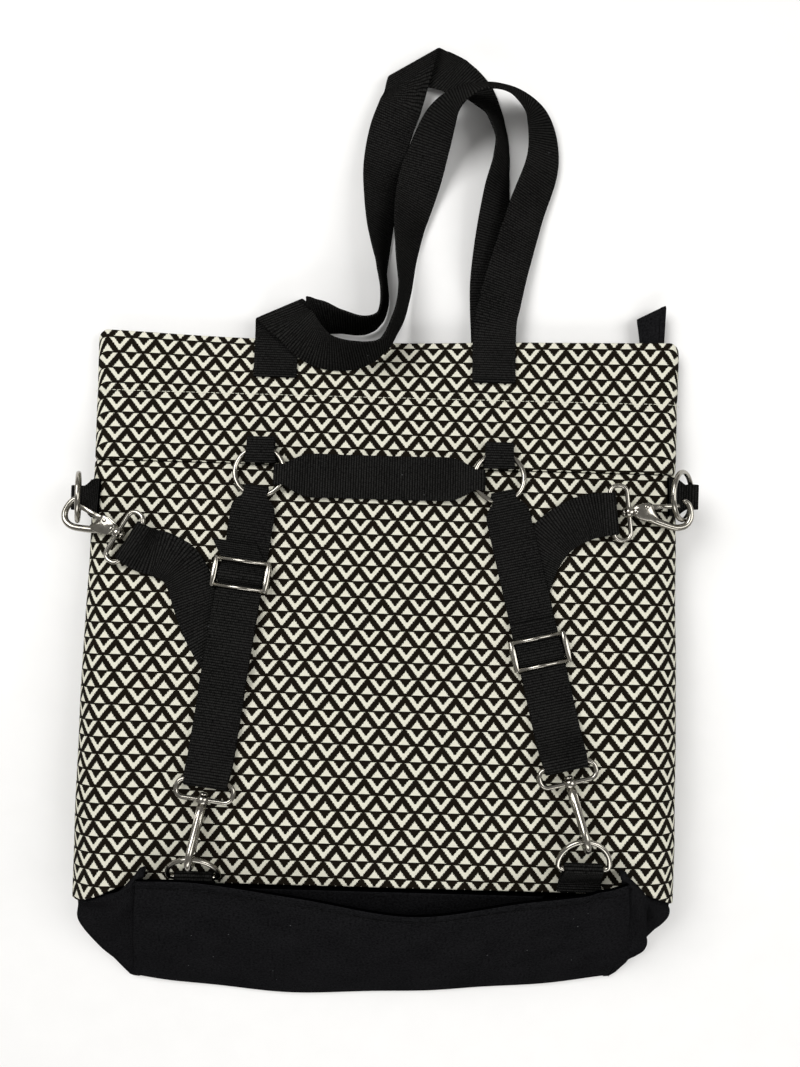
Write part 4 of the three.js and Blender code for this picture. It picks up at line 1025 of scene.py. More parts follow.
# %% Handles
back_handle = chained(
    patch_edges(PATCH["left"], patch_on_back, True),
    fold_edges(**FOLDS["back"]),
    swapped(chained(run_edges(BACK_LOOP), patch_edges(PATCH["right"], patch_on_back, False))),
)
front_handle = chained(
    patch_edges(PATCH["left"], patch_on_front, True),
    fold_edges(**FOLDS["front"]),
    swapped(chained(run_edges(FRONT_RISE), fold_edges(**FOLDS["top"]))),
    run_edges(FRONT_FALL),
    patch_edges(PATCH["right"], patch_on_front, False),
)
strap("handle_webbing_back", *back_handle, "handle_back", "folded", ["woven_back_upper"], 3)
strap("handle_webbing_front", *front_handle, "handle_front", "folded", ["woven_front"], 3)

# %% [markdown]
# ## Straps on the back
# The strap system is flat webbing laid on the cloth: tabs sewn in at the cross seam, a yoke between the
# two rings, shoulder straps and side straps. A strap is laid along a line on the plan, with rows that say
# how high it rides, how wide it is there, and where it turns round a ring or a hook's loop.


# %% Laying a strap
def row(s, lift, width=WEB, shift=0.0, level=False):
    return {"s": s, "lift": lift, "width": width, "shift": shift, "level": level}


def laid(plan, rows, surface=back_height):
    line = soft_line(plan, 24)
    gone = lengths(line)
    edges = ([], [])
    for r in rows:
        s = min(max(r["s"], 0), gone[-1])
        place, near, far = (
            np.array([np.interp(mark, gone, line[:, k]) for k in (0, 1)])
            for mark in (s, max(s - 0.6, 0), min(s + 0.6, gone[-1]))
        )
        run = unit(far - near)
        side = np.array([run[1], -run[0]])
        place = place + run * (r["s"] - s) + side * r["shift"]
        for edge, reach in zip(edges, (-r["width"] / 2, r["width"] / 2)):
            q = place + side * reach
            edge.append((*q, surface(place[1] if r["level"] else q[1]) + r["lift"]))
    return np.array(edges[0]), np.array(edges[1])


def turn_rows(low, high, reach, width, level=False):
    middle = (low + high) / 2
    radius = (high - low) / 2
    turned = []
    for deg in (-60, -30, 0, 30, 60):
        out = (reach - radius) + radius * math.cos(math.radians(deg))
        turned.append(row(-out, middle + radius * math.sin(math.radians(deg)), width, 0.0, level))
    return turned


print("straps ride", LIFT["under"], "to", LIFT["over"], "mm over the cloth")

# %% Ring tabs and yoke
RING = {"radius": 17.75, "wire": 1.75}
RINGS = {"left": np.array([-90, 91.0]), "right": np.array([82.5, 91.5])}
UNDER = LIFT["under"]
SECOND = LIFT["second"]
OVER = LIFT["over"]
for side, centre in RINGS.items():
    rows = [row(17.8, UNDER, 23), row(12, UNDER, 22), row(6, UNDER, 20)]
    rows += turn_rows(UNDER, OVER, 0.4, 20)
    rows += [row(6, OVER, 20), row(11, OVER, 21), row(16.4, 4.6, 22.6), row(17.8, SECOND, 23)]
    fold_y = centre[1] + RING["radius"] + 7
    tab = laid([(centre[0], fold_y), (centre[0], fold_y - 20)], rows)
    strap("ring_tab_webbing_" + side, *tab, "ring_tab_" + side, "folded", ["woven_back_upper"])

YOKE_Y = 89.4
yoke_from = RINGS["left"][0] + RING["radius"]
yoke_span = RINGS["right"][0] - RING["radius"] - yoke_from
YOKE_END = 15.4
yoke_end = [row(30, UNDER, 31), row(18, UNDER, 31), row(8, UNDER, 24), row(0, UNDER, YOKE_END)]
yoke_end += turn_rows(UNDER, OVER, 7, YOKE_END)
yoke_end += [row(0, OVER, YOKE_END), row(5, OVER, 21.5), row(14, 4.4, 30), row(20, SECOND)]
yoke_end += [row(31, SECOND), row(40, UNDER)]
yoke_rows = yoke_end + [row(60, UNDER), row(yoke_span - 60, UNDER)]
yoke_rows += [{**r, "s": yoke_span - r["s"]} for r in reversed(yoke_end)]
yoke = laid([(yoke_from, YOKE_Y), (yoke_from + yoke_span, YOKE_Y)], yoke_rows)
strap("yoke_webbing", *yoke, "yoke_strap", "folded", ["woven_back_lower"])

# %% [markdown]
# ## Snap hooks
# Each side and shoulder strap ends in a swivel snap hook: a wire loop for the webbing, a stud that turns
# in the loop's boss, two cheeks with a rivet, a bow and a sprung gate. They are small turned and bent
# shapes, so they are made as swept wires, turned profiles and bevelled plates in the hook's own frame and
# then placed.

# %% Metal shapes
TIP_ROUND = 0.3


def tube(path, radius, closed=False, sides=14, deep=None):
    path = np.asarray(path, float)
    count = len(path)
    radius = np.broadcast_to(radius, count).astype(float)
    deep = radius if deep is None else np.broadcast_to(deep, count).astype(float)
    if closed:
        run = np.roll(path, -1, axis=0) - np.roll(path, 1, axis=0)
    else:
        run = np.gradient(path, axis=0)
    run = unit(run)
    out = np.stack([run[:, 1], -run[:, 0], 0 * run[:, 0]], -1)
    turn = 2 * np.pi * np.arange(sides) / sides
    ring = out[:, None] * (radius[:, None] * np.cos(turn))[..., None]
    points = path[:, None] + ring
    points[..., 2] += deep[:, None] * np.sin(turn)
    if closed:
        number = np.arange(count * sides).reshape(count, sides)
        return points.reshape(-1, 3), wall_faces(number, closed)
    first_tip = path[0] - run[0] * radius[0] * TIP_ROUND
    last_tip = path[-1] + run[-1] * radius[-1] * TIP_ROUND
    return capped(points, np.stack([first_tip, last_tip]))


def turned_bar(profile, axis, sides=20, at=(0, 0, 0)):
    profile = np.asarray(profile, float)
    turn = 2 * np.pi * np.arange(sides) / sides
    first, second, third = {"x": (0, 1, 2), "y": (1, 2, 0), "z": (2, 0, 1)}[axis]
    points = np.zeros((len(profile), sides, 3))
    points[..., first] = profile[:, :1]
    points[..., second] = profile[:, 1:] * np.cos(turn)
    points[..., third] = profile[:, 1:] * np.sin(turn)
    poles = np.zeros((2, 3))
    poles[:, first] = profile[[0, -1], 0]
    shell_points, faces = capped(points, poles)
    return shell_points + np.array(at), faces


def bevelled_plate(outline, low, high, bevel, per_span=5):
    line = soft_line([(px, py, 0) for px, py in outline], per_span, closed=True)
    centre = line.mean(axis=0)
    run = unit(np.roll(line, -1, axis=0) - np.roll(line, 1, axis=0))
    area = np.sum(line[:, 0] * np.roll(line[:, 1], -1) - line[:, 1] * np.roll(line[:, 0], -1))
    out = np.sign(area) * np.stack([run[:, 1], -run[:, 0], 0 * run[:, 0]], -1)
    layers = []
    for z, inset in ((low, bevel), (low + bevel, 0), (high - bevel, 0), (high, bevel)):
        layers.append(line - out * inset + np.array([0, 0, z]))
    poles = np.stack([centre + [0, 0, low], centre + [0, 0, high]])
    return capped(np.stack(layers), poles)


def joined(*shells):
    points = []
    faces = []
    count = 0
    for shell in shells:
        shell_points, shell_faces = outward(*shell)
        points.append(shell_points)
        faces.append(shell_faces + count)
        count += len(shell_points)
    return np.concatenate(points), np.concatenate(faces)


def placed(shell, origin, x_dir, y_dir):
    x_axis = unit(np.asarray(x_dir, float))
    z_axis = unit(np.cross(x_axis, y_dir))
    y_axis = np.cross(z_axis, x_axis)
    return shell[0] @ np.stack([x_axis, y_axis, z_axis]) + np.asarray(origin, float), shell[1]


def metal(name, shell, body, *nodes):
    piece = made(name, *shell, nickel)
    return wear(piece, body, "nickel", *nodes)


print("metal shapes ready")

# %% Hook parts in the hook's own frame
PIVOT = (12.3, 2.5, 0)
CHEEK = [(4, -3.4), (4, 3.4), (9, 5), (12.3, 5.4), (15.6, 5), (17.2, 2), (18, -2), (20, -7), (15, -8)]
HEART = [(3.6, -3), (3.6, 3), (8.2, 3.6), (8.4, -1.6), (17, -1.8), (19, -6.4), (15, -7.6)]
BOW = [
    (8, -3), (15, -6.5), (24, -11), (33, -14.2), (39, -13.2),
    (42.6, -9), (43.4, -3), (42, 2.4), (38.8, 4.9),
]
BOW_WIRE = {
    "share": [0, 0.25, 0.5, 0.8, 0.95, 0.985, 1],
    "thick": [2.6, 2.5, 2.3, 2.1, 1.8, 1.3, 0.6],
    "deep": [2.4, 2.5, 2.35, 2.1, 1.8, 1.3, 0.6],
}
GATE = [
    (11.5, 0.9), (14, 0.55), (24, 0.1), (35.6, -0.2), (36.5, 0.9),
    (35.6, 2.2), (24, 3.3), (14, 4.25), (11.5, 4.2),
]
STUD = [
    (-4.9, 1.6), (-4.7, 2.6), (-4.0, 3.0), (-3.3, 2.8), (-3.0, 1.8),
    (2.6, 1.8), (3.0, 2.6), (4.6, 3.2), (6.2, 3.3),
]
BOSS = [(-2.4, 2.3), (-2.4, 3.4), (-1.8, 4.0), (1.8, 4.0), (2.4, 3.4), (2.4, 2.3)]
BOSS_SIDES = 24
CHEEKS = {"inner": 1.6, "outer": 2.7, "heart": 1.7}
RIVET = {"pin": 1.1, "head": 1.7, "head_high": 0.7, "seat": 2.6}
HEEL = [(-1.2, 0.3), (-1.2, 2.1), (-0.9, 2.4), (0.9, 2.4), (1.2, 2.1), (1.2, 0.3)]
GATE_HALF = 1.2
LOOP = {"far": 12.1, "half": 19.6, "corner": 5.4, "wire": 1.6}


def dome(z, height, radius, way):
    steps = np.linspace(0, math.pi / 2, 6)
    return [(z + way * height * math.sin(t), max(radius * math.cos(t), 0.02)) for t in steps]


def hook_shell():
    bow = soft_line([(px, py, 0) for px, py in BOW], 8)
    share = np.linspace(0, 1, len(bow))
    thick = np.interp(share, BOW_WIRE["share"], BOW_WIRE["thick"])
    deep = np.interp(share, BOW_WIRE["share"], BOW_WIRE["deep"])
    shells = [tube(bow, thick, deep=deep, sides=16), turned_bar(STUD, "x")]
    shells.append(bevelled_plate(CHEEK, CHEEKS["inner"], CHEEKS["outer"], 0.4))
    shells.append(bevelled_plate(CHEEK, -CHEEKS["outer"], -CHEEKS["inner"], 0.4))
    shells.append(bevelled_plate(HEART, -CHEEKS["heart"], CHEEKS["heart"], 0.1))
    pin = [(-CHEEKS["outer"], RIVET["pin"]), (CHEEKS["outer"], RIVET["pin"])]
    shells.append(turned_bar(pin, "z", 16, PIVOT))
    for way in (-1, 1):
        head = dome(way * RIVET["seat"], RIVET["head_high"], RIVET["head"], way)
        shells.append(turned_bar(head, "z", 16, PIVOT))
    return joined(*shells)


def loop_path():
    inner = LOOP["half"] - LOOP["corner"]
    corners = ((-LOOP["corner"], inner, 0), (-LOOP["far"] + LOOP["corner"], inner, 90))
    corners += ((-LOOP["far"] + LOOP["corner"], -inner, 180), (-LOOP["corner"], -inner, 270))
    path = []
    for cx, cy, begin in corners:
        for turn in np.radians(begin + np.linspace(0, 90, 9)):
            path.append((cx + LOOP["corner"] * math.cos(turn), cy + LOOP["corner"] * math.sin(turn), 0))
    return path


def boss_shell():
    points = turned_bar(BOSS, "x", BOSS_SIDES)[0][:-2]
    number = np.arange(len(points)).reshape(len(BOSS), BOSS_SIDES)
    return points, wall_faces(number, closed=True)


def gate_shell():
    return joined(bevelled_plate(GATE, -GATE_HALF, GATE_HALF, 0.35), turned_bar(HEEL, "z", 20, PIVOT))


print("bow of", len(BOW), "points, gate of", len(GATE))

# %% Place the four hooks
HOOKS = {
    "side_hook_right": {"eye": (212.2, 64.6, 39.6), "heading": 7, "pitch": 0.6, "local": (37, -9), "gate": 1},
    "side_hook_left": {"eye": (-218, 52, 37), "heading": 150, "pitch": -10, "local": (31, -8.8), "gate": -1},
    "base_hook_right": {
        "eye": (141, -151.5, 77.7), "heading": -75.8, "pitch": 6.8, "local": (37, -9), "gate": 0,
    },
    "base_hook_left": {
        "eye": (-121, -170.5, 77.7), "heading": -97.15, "pitch": 6.8, "local": (37, -9), "gate": 0,
    },
}
loop_bars = {}
for name, hook in HOOKS.items():
    turn = math.radians(hook["heading"])
    pitch = math.radians(hook["pitch"])
    level_part = math.cos(pitch)
    x_dir = np.array([math.cos(turn) * level_part, math.sin(turn) * level_part, math.sin(pitch)])
    level = np.array([-math.sin(turn), math.cos(turn), 0])
    y_dir = hook["gate"] * level if hook["gate"] else np.array([0, 0, -1.0])
    in_eye = placed((np.array([[*hook["local"], 0]]), None), (0, 0, 0), x_dir, y_dir)[0][0]
    swivel = np.array(hook["eye"]) - in_eye
    loop_bars[name] = swivel - x_dir * LOOP["far"]
    metal(name + "_body", placed(hook_shell(), swivel, x_dir, y_dir), "bag", name)
    wire_loop = joined(tube(loop_path(), LOOP["wire"], closed=True), boss_shell())
    metal(name + "_wire_loop", placed(wire_loop, swivel, x_dir, level), "bag", name + "_loop")
    metal(name + "_sprung_gate", placed(gate_shell(), swivel, x_dir, y_dir), name + "_gate", name + "_gate")
print("loop bars", {k: [round(float(c), 1) for c in v] for k, v in loop_bars.items()})

# %% [markdown]
# ## Rings and sliders
# The rings are bent wire closed by a butt weld, which shows as a slight swelling. The sliders that set the
# length of the shoulder straps are three bars between two rails.

# %% Rings
SLOPE_FROM_Y = 33
SLOPE = math.atan((back_height(SLOPE_FROM_Y) - back_height(CROSS_SEAM_Y)) / (CROSS_SEAM_Y - SLOPE_FROM_Y))
WELD = {"swell": 0.07, "swell_wide": 0.10, "notch": 0.10, "notch_wide": 0.025}
WELD_AT = {"left": 185, "right": 0, "side": 60}


def welded_ring(radius, wire, weld_at):
    turn = np.linspace(0, 2 * np.pi, 96, endpoint=False)
    path = np.stack([radius * np.cos(turn), radius * np.sin(turn), 0 * turn], -1)
    from_weld = np.abs((turn - weld_at + np.pi) % (2 * np.pi) - np.pi)
    notch = WELD["notch"] * bell(from_weld, 0, WELD["notch_wide"])
    swelling = WELD["swell"] * bell(from_weld, 0, WELD["swell_wide"]) - notch
    return tube(path, wire * (1 + swelling), closed=True, sides=18)


for side, centre in RINGS.items():
    height = back_height(centre[1]) + LIFT["wire"]
    shell = welded_ring(RING["radius"], RING["wire"], math.radians(WELD_AT[side]))
    tilt = (0, math.cos(SLOPE), -math.sin(SLOPE))
    metal("strap_ring_" + side, placed(shell, (*centre, height), (1, 0, 0), tilt), "bag", "ring_" + side)

SIDE_RING = {"radius": 17, "wire": 1.75}
SIDES = {"left": {"sign": -1, "lean": 20}, "right": {"sign": 1, "lean": 40}}
side_feet = {}
for side, way in SIDES.items():
    tilt = math.radians(way["lean"])
    up_dir = np.array([-way["sign"] * math.sin(tilt), 0, math.cos(tilt)])
    centre = np.array(HOOKS["side_hook_" + side]["eye"]) + np.array([0, SIDE_RING["radius"], 0])
    side_feet[side] = (centre, up_dir)
    shell = welded_ring(SIDE_RING["radius"], SIDE_RING["wire"], math.radians(WELD_AT["side"]))
    metal("seam_ring_" + side, placed(shell, centre, (0, 1, 0), up_dir), "bag", "side_ring_" + side)
print("four round rings")

# %% D-rings
D_RING = {"half": 17.2, "corner": 3.4, "wire": 1.7}
D_TILT = {"left": 36, "right": 14}


def d_ring_path():
    inner = D_RING["half"] - D_RING["corner"]
    path = []
    for cx, begin in ((-inner, 180), (inner, 270)):
        for turn in np.radians(begin + np.linspace(0, 90, 8)):
            path.append((cx + D_RING["corner"] * math.cos(turn), D_RING["corner"] * (1 + math.sin(turn)), 0))
    for turn in np.radians(np.linspace(4, 176, 40)):
        path.append((D_RING["half"] * math.cos(turn), D_RING["corner"] + D_RING["half"] * math.sin(turn), 0))
    return path


d_feet = {}
for side in ("left", "right"):
    tilt = math.radians(D_TILT[side])
    up_dir = np.array([0, math.cos(tilt), math.sin(tilt)])
    eye = np.array(HOOKS["base_hook_" + side]["eye"])
    d_feet[side] = eye - up_dir * (D_RING["corner"] + D_RING["half"])
    shell = tube(d_ring_path(), D_RING["wire"], closed=True, sides=18)
    metal("base_d_ring_" + side, placed(shell, d_feet[side], (1, 0, 0), up_dir), "bag", "d_ring_" + side)
print("D-ring feet", {k: [round(float(c), 1) for c in v] for k, v in d_feet.items()})

# %% [markdown]
# ## Side straps, shoulder straps and tabs
# A strap that holds a hook turns round the loop's bar and is sewn back on itself. The shoulder straps run
# from the ring to the hook and back up through the slider, where they end in a free tail.

# %% Side straps
TURN_GAP = 0.7
TURN = LOOP["wire"] + TURN_GAP + THICK / 2
SIDE_STRAPS = {
    "side_hook_right": [(150.5, 66), (139, 62), (125, 53), (113, 38), (106, 22), (102, 8)],
    "side_hook_left": [
        (-166.5, 32.3), (-155, 29.5), (-144.5, 23.8), (-136.5, 12.5), (-130, -4), (-121.5, -22), (-110, -40),
    ],
}
for hook_name, route in SIDE_STRAPS.items():
    bar = loop_bars[hook_name]
    lift = bar[2] - back_height(bar[1])
    plan = [(bar[0], bar[1]), *route]
    length = lengths(soft_line(plan, 24))[-1]
    rows = [row(34, UNDER), row(22, UNDER), row(12, UNDER), row(5, lift - TURN, 31, 0, True)]
    rows += [row(0.5, lift - TURN, 30, 0, True)]
    rows += turn_rows(lift - TURN, lift + TURN, TURN, 30, True)
    rows += [row(0.5, lift + TURN, 30, 0, True), row(5, lift + TURN - 0.6, 31, 0, True)]
    rows += [row(12, 4.6), row(18, SECOND), row(35, SECOND), row(43, UNDER)]
    rows += [row(s, UNDER) for s in np.arange(50, length - 3, 8)]
    rows += [row(length, UNDER)]
    side = hook_name.split("_")[-1]
    strap("side_webbing_" + side, *laid(plan, rows), "side_strap_" + side, "folded", ["woven_back_lower"])

# %% Shoulder straps and sliders
SLIDER = {"reach": 9.5, "bar": 1.4, "rail": 17.2, "rail_wide": 2.8, "low": 2.3, "high": 5.9, "gap": 0.4}
OVER_BAR_WITHIN = 3
CROSS_MARGIN = 3
RAIL = {"foot": 0.7, "top": 7.3, "bevel": 0.6, "round": 0.7}
SHOULDER = {
    "left": {"slider": 57, "tail": 34, "back": 24, "cross": (68, 131), "skew": 9, "raise": 2},
    "right": {"slider": 108, "tail": 86, "back": 18, "cross": (18, 78), "skew": 0, "raise": 0},
}


def slider_shell():
    reach = SLIDER["reach"] + SLIDER["bar"]
    inner = SLIDER["rail"]
    outer = inner + SLIDER["rail_wide"]
    shells = []
    for sign in (-1, 1):
        rail = [(-reach, sign * inner), (reach, sign * inner), (reach, sign * outer), (-reach, sign * outer)]
        plan = []
        for k in range(4):
            here = np.array(rail[k])
            for near in (rail[k - 1], rail[(k + 1) % 4]):
                plan.append(tuple(here + unit(np.array(near) - here) * RAIL["round"]))
        shells.append(bevelled_plate(plan, RAIL["foot"], RAIL["top"], RAIL["bevel"], 3))
    bar = SLIDER["bar"]
    round_bar = [(-inner - 1, bar), (inner + 1, bar)]
    for x, z in ((-SLIDER["reach"], SLIDER["high"]), (0, SLIDER["low"]), (SLIDER["reach"], SLIDER["high"])):
        shells.append(turned_bar(round_bar, "y", 16, (x, 0, z)))
    return joined(*shells)


def rides(plan, s):
    if abs(s - plan["slider"]) < OVER_BAR_WITHIN:
        return SLIDER["low"] + SLIDER["bar"] + SLIDER["gap"] + THICK / 2 + plan["raise"]
    first, last = plan["cross"]
    return SECOND if first - CROSS_MARGIN < s < last + CROSS_MARGIN else UNDER


for side, plan in SHOULDER.items():
    bar = loop_bars["base_hook_" + side]
    end = bar[:2]
    from_ring = RINGS[side] + RING["radius"] * unit(end - RINGS[side])
    length = float(np.linalg.norm(end - from_ring))
    lift = bar[2] - back_height(bar[1])
    rows = [row(plan["back"], UNDER, 31), row(12, UNDER, 28), row(0, UNDER, 18)]
    rows += turn_rows(UNDER, OVER, 7, 17)
    rows += [row(0, OVER, 18), row(3, OVER - 0.3, 25), row(8, 5.4, 31), row(15, SECOND)]
    rows += [row(plan["back"] + 2, SECOND)]
    steps = [s for s in np.arange(plan["back"] + 8, length - 12, 8) if abs(s - plan["slider"]) > 14]
    steps += [plan["slider"] + d for d in (-12, -8, -2, 2, 8, 12)]
    steps += [s + d for s in plan["cross"] for d in (-3.2, -2.8, 2.8, 3.2)]
    steps = sorted(s for s in steps if s > plan["back"] + 6)
    down_steps = [s for k, s in enumerate(steps) if k == 0 or s - steps[k - 1] > 3]
    rows += [row(s, rides(plan, s)) for s in down_steps]
    low = lift - TURN
    rows += [row(length - 6, low, 31), row(length - 0.5, low, 30)]
    rows += [{**r, "s": length - r["s"]} for r in turn_rows(low, lift + TURN, TURN, 30)]
    rows += [row(length - 0.5, lift + TURN, 30), row(length - 6, lift + TURN - 0.6, 31)]
    for s in reversed(down_steps):
        if s >= plan["tail"] + 3:
            skew = plan["skew"] * min(max((plan["slider"] - 10 - s) / 12, 0), 1)
            rows.append(row(s, rides(plan, s) + 2, WEB, skew))
    rows.append(row(plan["tail"], rides(plan, plan["tail"]) + 2.1, WEB, plan["skew"]))
    edges = laid([tuple(from_ring), tuple(end)], rows)
    strap("shoulder_webbing_" + side, *edges, "shoulder_strap_" + side, "folded", ["woven_back_lower"])

    middle = from_ring + (end - from_ring) * plan["slider"] / length
    way = unit(end - from_ring)
    fall = (back_height(middle[1] + way[1] * 5) - back_height(middle[1] - way[1] * 5)) / 10
    x_dir = np.array([*way, fall])
    y_dir = np.array([-way[1], way[0], fall / way[1] * way[0]])
    origin = (*middle, back_height(middle[1]) + plan["raise"])
    metal("strap_slider_" + side, placed(slider_shell(), origin, x_dir, y_dir), "bag", "slider_" + side)

# %% Tabs of the D-rings
D_TABS = {"left": -195.2, "right": -191}
TAB_FLOOR = 60
D_TURN_GAP = 0.5
BACK_EDGE = {"y": -194.4, "slope": 0.42}
for side, foot in d_feet.items():
    lift = foot[2] - TAB_FLOOR
    turn = D_RING["wire"] + D_TURN_GAP + THICK / 2
    sewn = foot[1] - D_TABS[side]
    bend = min(12, 0.7 * sewn)
    fall = BACK_EDGE["slope"] * min(0, foot[1] - sewn - BACK_EDGE["y"])
    rows = [row(sewn, UNDER + fall, 31), row(bend, UNDER, 28), row(0.5, lift - turn, 26)]
    rows += turn_rows(lift - turn, lift + turn, turn, 26)
    rows += [row(0.5, lift + turn, 26), row(bend, 4.6, 28), row(sewn, SECOND + fall, 31)]
    edges = laid([(foot[0], foot[1]), (foot[0], D_TABS[side])], rows, lambda y: TAB_FLOOR)
    strap("d_ring_tab_webbing_" + side, *edges, "d_ring_tab_" + side, "folded", ["canvas_strip"])

# %% Tabs of the side rings
TAB_LOOP = {
    "out": [5.8, 5.9, 5.2, 2.6, -0.6, -2.8, -3.2, -3.4],
    "over": [-4, 0, 2.6, 4.4, 4, 2, -1, -5],
}
TAB_SEAM = {"x": [205, 211, 216.6], "share": [0.95, 0.82, 0.5], "lift": [2, 2.8, 1]}
TAB_WIDTH = {"sewn": WEB - 4, "loop": 18}
for side, (centre, up_dir) in side_feet.items():
    sign = SIDES[side]["sign"]
    over_dir = np.array([sign * up_dir[2], 0, -sign * up_dir[0]])
    foot = centre - up_dir * SIDE_RING["radius"]
    height = float(back_height(centre[1]))
    path = [np.array([sign * x, 0, height * part + lift]) for x, part, lift in zip(*TAB_SEAM.values())]
    path[2:2] = [foot + up_dir * d + over_dir * q for d, q in zip(TAB_LOOP["out"], TAB_LOOP["over"])]
    edges = ([], [])
    for k, p in enumerate(path):
        sewn = k < 2 or k == len(path) - 1
        for edge, reach in zip(edges, (-1, 1)):
            y = centre[1] + reach * TAB_WIDTH["sewn" if sewn else "loop"] / 2
            slope = back_height(y) - height if k < 2 else 0
            edge.append((p[0], y, p[2] + slope))
    tab = (np.array(edges[0]), np.array(edges[1]))
    strap("side_tab_webbing_" + side, *tab, "side_tab_" + side, "folded", ["woven_back_lower"])

# %% [markdown]
# ## Zip end
# The zip runs past the mouth at the right corner and ends in a folded piece of tape, cut on the slant.
# It is a small sheet between two edges, thickened and creased along the fold.

# %% Zip end tab
ZIP_LEFT = [(188, 182), (188, 197), (185.5, 213.5)]
ZIP_RIGHT = [(204.5, 182), (204.5, 197), (205.5, 224)]
ZIP_Z = 8.6
ZIP_THICK = 2.4
ZIP_CREASE = {"ridge": 0.35, "ridge_at": 0.82, "groove": 0.25, "groove_at": 0.9}
zip_left = evenly(soft_line([(*p, ZIP_Z) for p in ZIP_LEFT], 8), 30)[:, None]
zip_right = evenly(soft_line([(*p, ZIP_Z) for p in ZIP_RIGHT], 8), 30)[:, None]
share = np.linspace(0, 1, 25)[None, :, None]
zip_grid = zip_left + (zip_right - zip_left) * share
ridge = ZIP_CREASE["ridge"] * bell(share[..., 0], ZIP_CREASE["ridge_at"], 0.03)
groove = ZIP_CREASE["groove"] * bell(share[..., 0], ZIP_CREASE["groove_at"], 0.05)
zip_grid[..., 2] -= ridge - groove
zip_tab = cloth_sheet("zip_end_tape", zip_grid, ZIP_THICK, grid_lay(zip_grid), zip_tape)
wear(zip_tab, "bag", "webbing", "zip_end_tab")
print("zip end", len(zip_tab.data.polygons), "faces")

# %% [markdown]
# ## Stitching
# Stitches repeat along a path, which is what Geometry Nodes is for. One tree turns a line of edges into a
# curve, sets points at the stitch pitch, puts a small thread bead along each and realises the result.

# %% Stitch tree
stitch_tree = bpy.data.node_groups.new("stitch_row", "GeometryNodeTree")
stitch_tree.interface.new_socket("Path", in_out="INPUT", socket_type="NodeSocketGeometry")
for socket_name, kind in (
    ("Pitch", "NodeSocketFloat"),
    ("Bead Length", "NodeSocketFloat"),
    ("Thread", "NodeSocketFloat"),
    ("Finish", "NodeSocketMaterial"),
):
    stitch_tree.interface.new_socket(socket_name, in_out="INPUT", socket_type=kind)
stitch_tree.interface.new_socket("Stitches", in_out="OUTPUT", socket_type="NodeSocketGeometry")


def geo(kind):
    return stitch_tree.nodes.new(kind)


start = geo("NodeGroupInput")
end = geo("NodeGroupOutput")
to_curve = geo("GeometryNodeMeshToCurve")
resample = geo("GeometryNodeResampleCurve")
resample.mode = "LENGTH"
bead = geo("GeometryNodeMeshUVSphere")
bead.inputs["Segments"].default_value = 8
bead.inputs["Rings"].default_value = 6
bead.inputs["Radius"].default_value = 0.5
sizes = geo("ShaderNodeCombineXYZ")
tangent = geo("GeometryNodeInputTangent")
align = geo("FunctionNodeAlignRotationToVector")
align.axis = "Z"
on_points = geo("GeometryNodeInstanceOnPoints")
realise = geo("GeometryNodeRealizeInstances")
smooth = geo("GeometryNodeSetShadeSmooth")
finish_node = geo("GeometryNodeSetMaterial")
for source, target in (
    (start.outputs["Path"], to_curve.inputs["Mesh"]),
    (to_curve.outputs["Curve"], resample.inputs["Curve"]),
    (start.outputs["Pitch"], resample.inputs["Length"]),
    (resample.outputs["Curve"], on_points.inputs["Points"]),
    (bead.outputs["Mesh"], on_points.inputs["Instance"]),
    (tangent.outputs["Tangent"], align.inputs["Vector"]),
    (align.outputs["Rotation"], on_points.inputs["Rotation"]),
    (start.outputs["Thread"], sizes.inputs["X"]),
    (start.outputs["Thread"], sizes.inputs["Y"]),
    (start.outputs["Bead Length"], sizes.inputs["Z"]),
    (sizes.outputs["Vector"], on_points.inputs["Scale"]),
    (on_points.outputs["Instances"], realise.inputs["Geometry"]),
    (realise.outputs["Geometry"], smooth.inputs["Geometry"]),
    (smooth.outputs["Geometry"], finish_node.inputs["Geometry"]),
    (start.outputs["Finish"], finish_node.inputs["Material"]),
    (finish_node.outputs["Geometry"], end.inputs["Stitches"]),
):
    stitch_tree.links.new(source, target)
print("stitch tree nodes", len(stitch_tree.nodes))

# %% Stitching a set of lines
HEM_REACH = 0.985
HEM_STITCH = {"pitch": 3.6, "bead_length": 3.0, "thread": 0.42}
LIP_STITCH = {"pitch": 2.9, "bead_length": 2.3, "thread": 0.6}
STRAP_STITCH = {"pitch": 2.8, "bead_length": 2.2, "thread": 0.6}
ON_CLOTH = 0.05


def stitching(name, lines, finish, slot, pitch, bead_length, thread):
    points = []
    edges = []
    for line in lines:
        begin = len(points)
        points.extend((np.asarray(line) * MM).tolist())
        edges.extend((k, k + 1) for k in range(begin, len(points) - 1))
    mesh = bpy.data.meshes.new(name + "_path")
    mesh.from_pydata(points, edges, [])
    path = bpy.data.objects.new(name + "_path", mesh)
    scene.collection.objects.link(path)
    modifier = path.modifiers.new("stitches", "NODES")
    modifier.node_group = stitch_tree
    values = {"Pitch": pitch * MM, "Bead Length": bead_length * MM, "Thread": thread * MM, "Finish": finish}
    for item in stitch_tree.interface.items_tree:
        if item.in_out == "INPUT" and item.name in values:
            modifier[item.identifier] = values[item.name]
    graph = bpy.context.evaluated_depsgraph_get()
    sewn_mesh = bpy.data.meshes.new_from_object(path.evaluated_get(graph))
    bpy.data.objects.remove(path)
    piece = bpy.data.objects.new(name, sewn_mesh)
    scene.collection.objects.link(piece)
    wear(piece, "bag", slot)
    print(name, len(sewn_mesh.polygons), "faces")


def on_back(x, y, lift):
    return np.stack(np.broadcast_arrays(x, y, back_height(np.asarray(y, float)) + lift), -1)


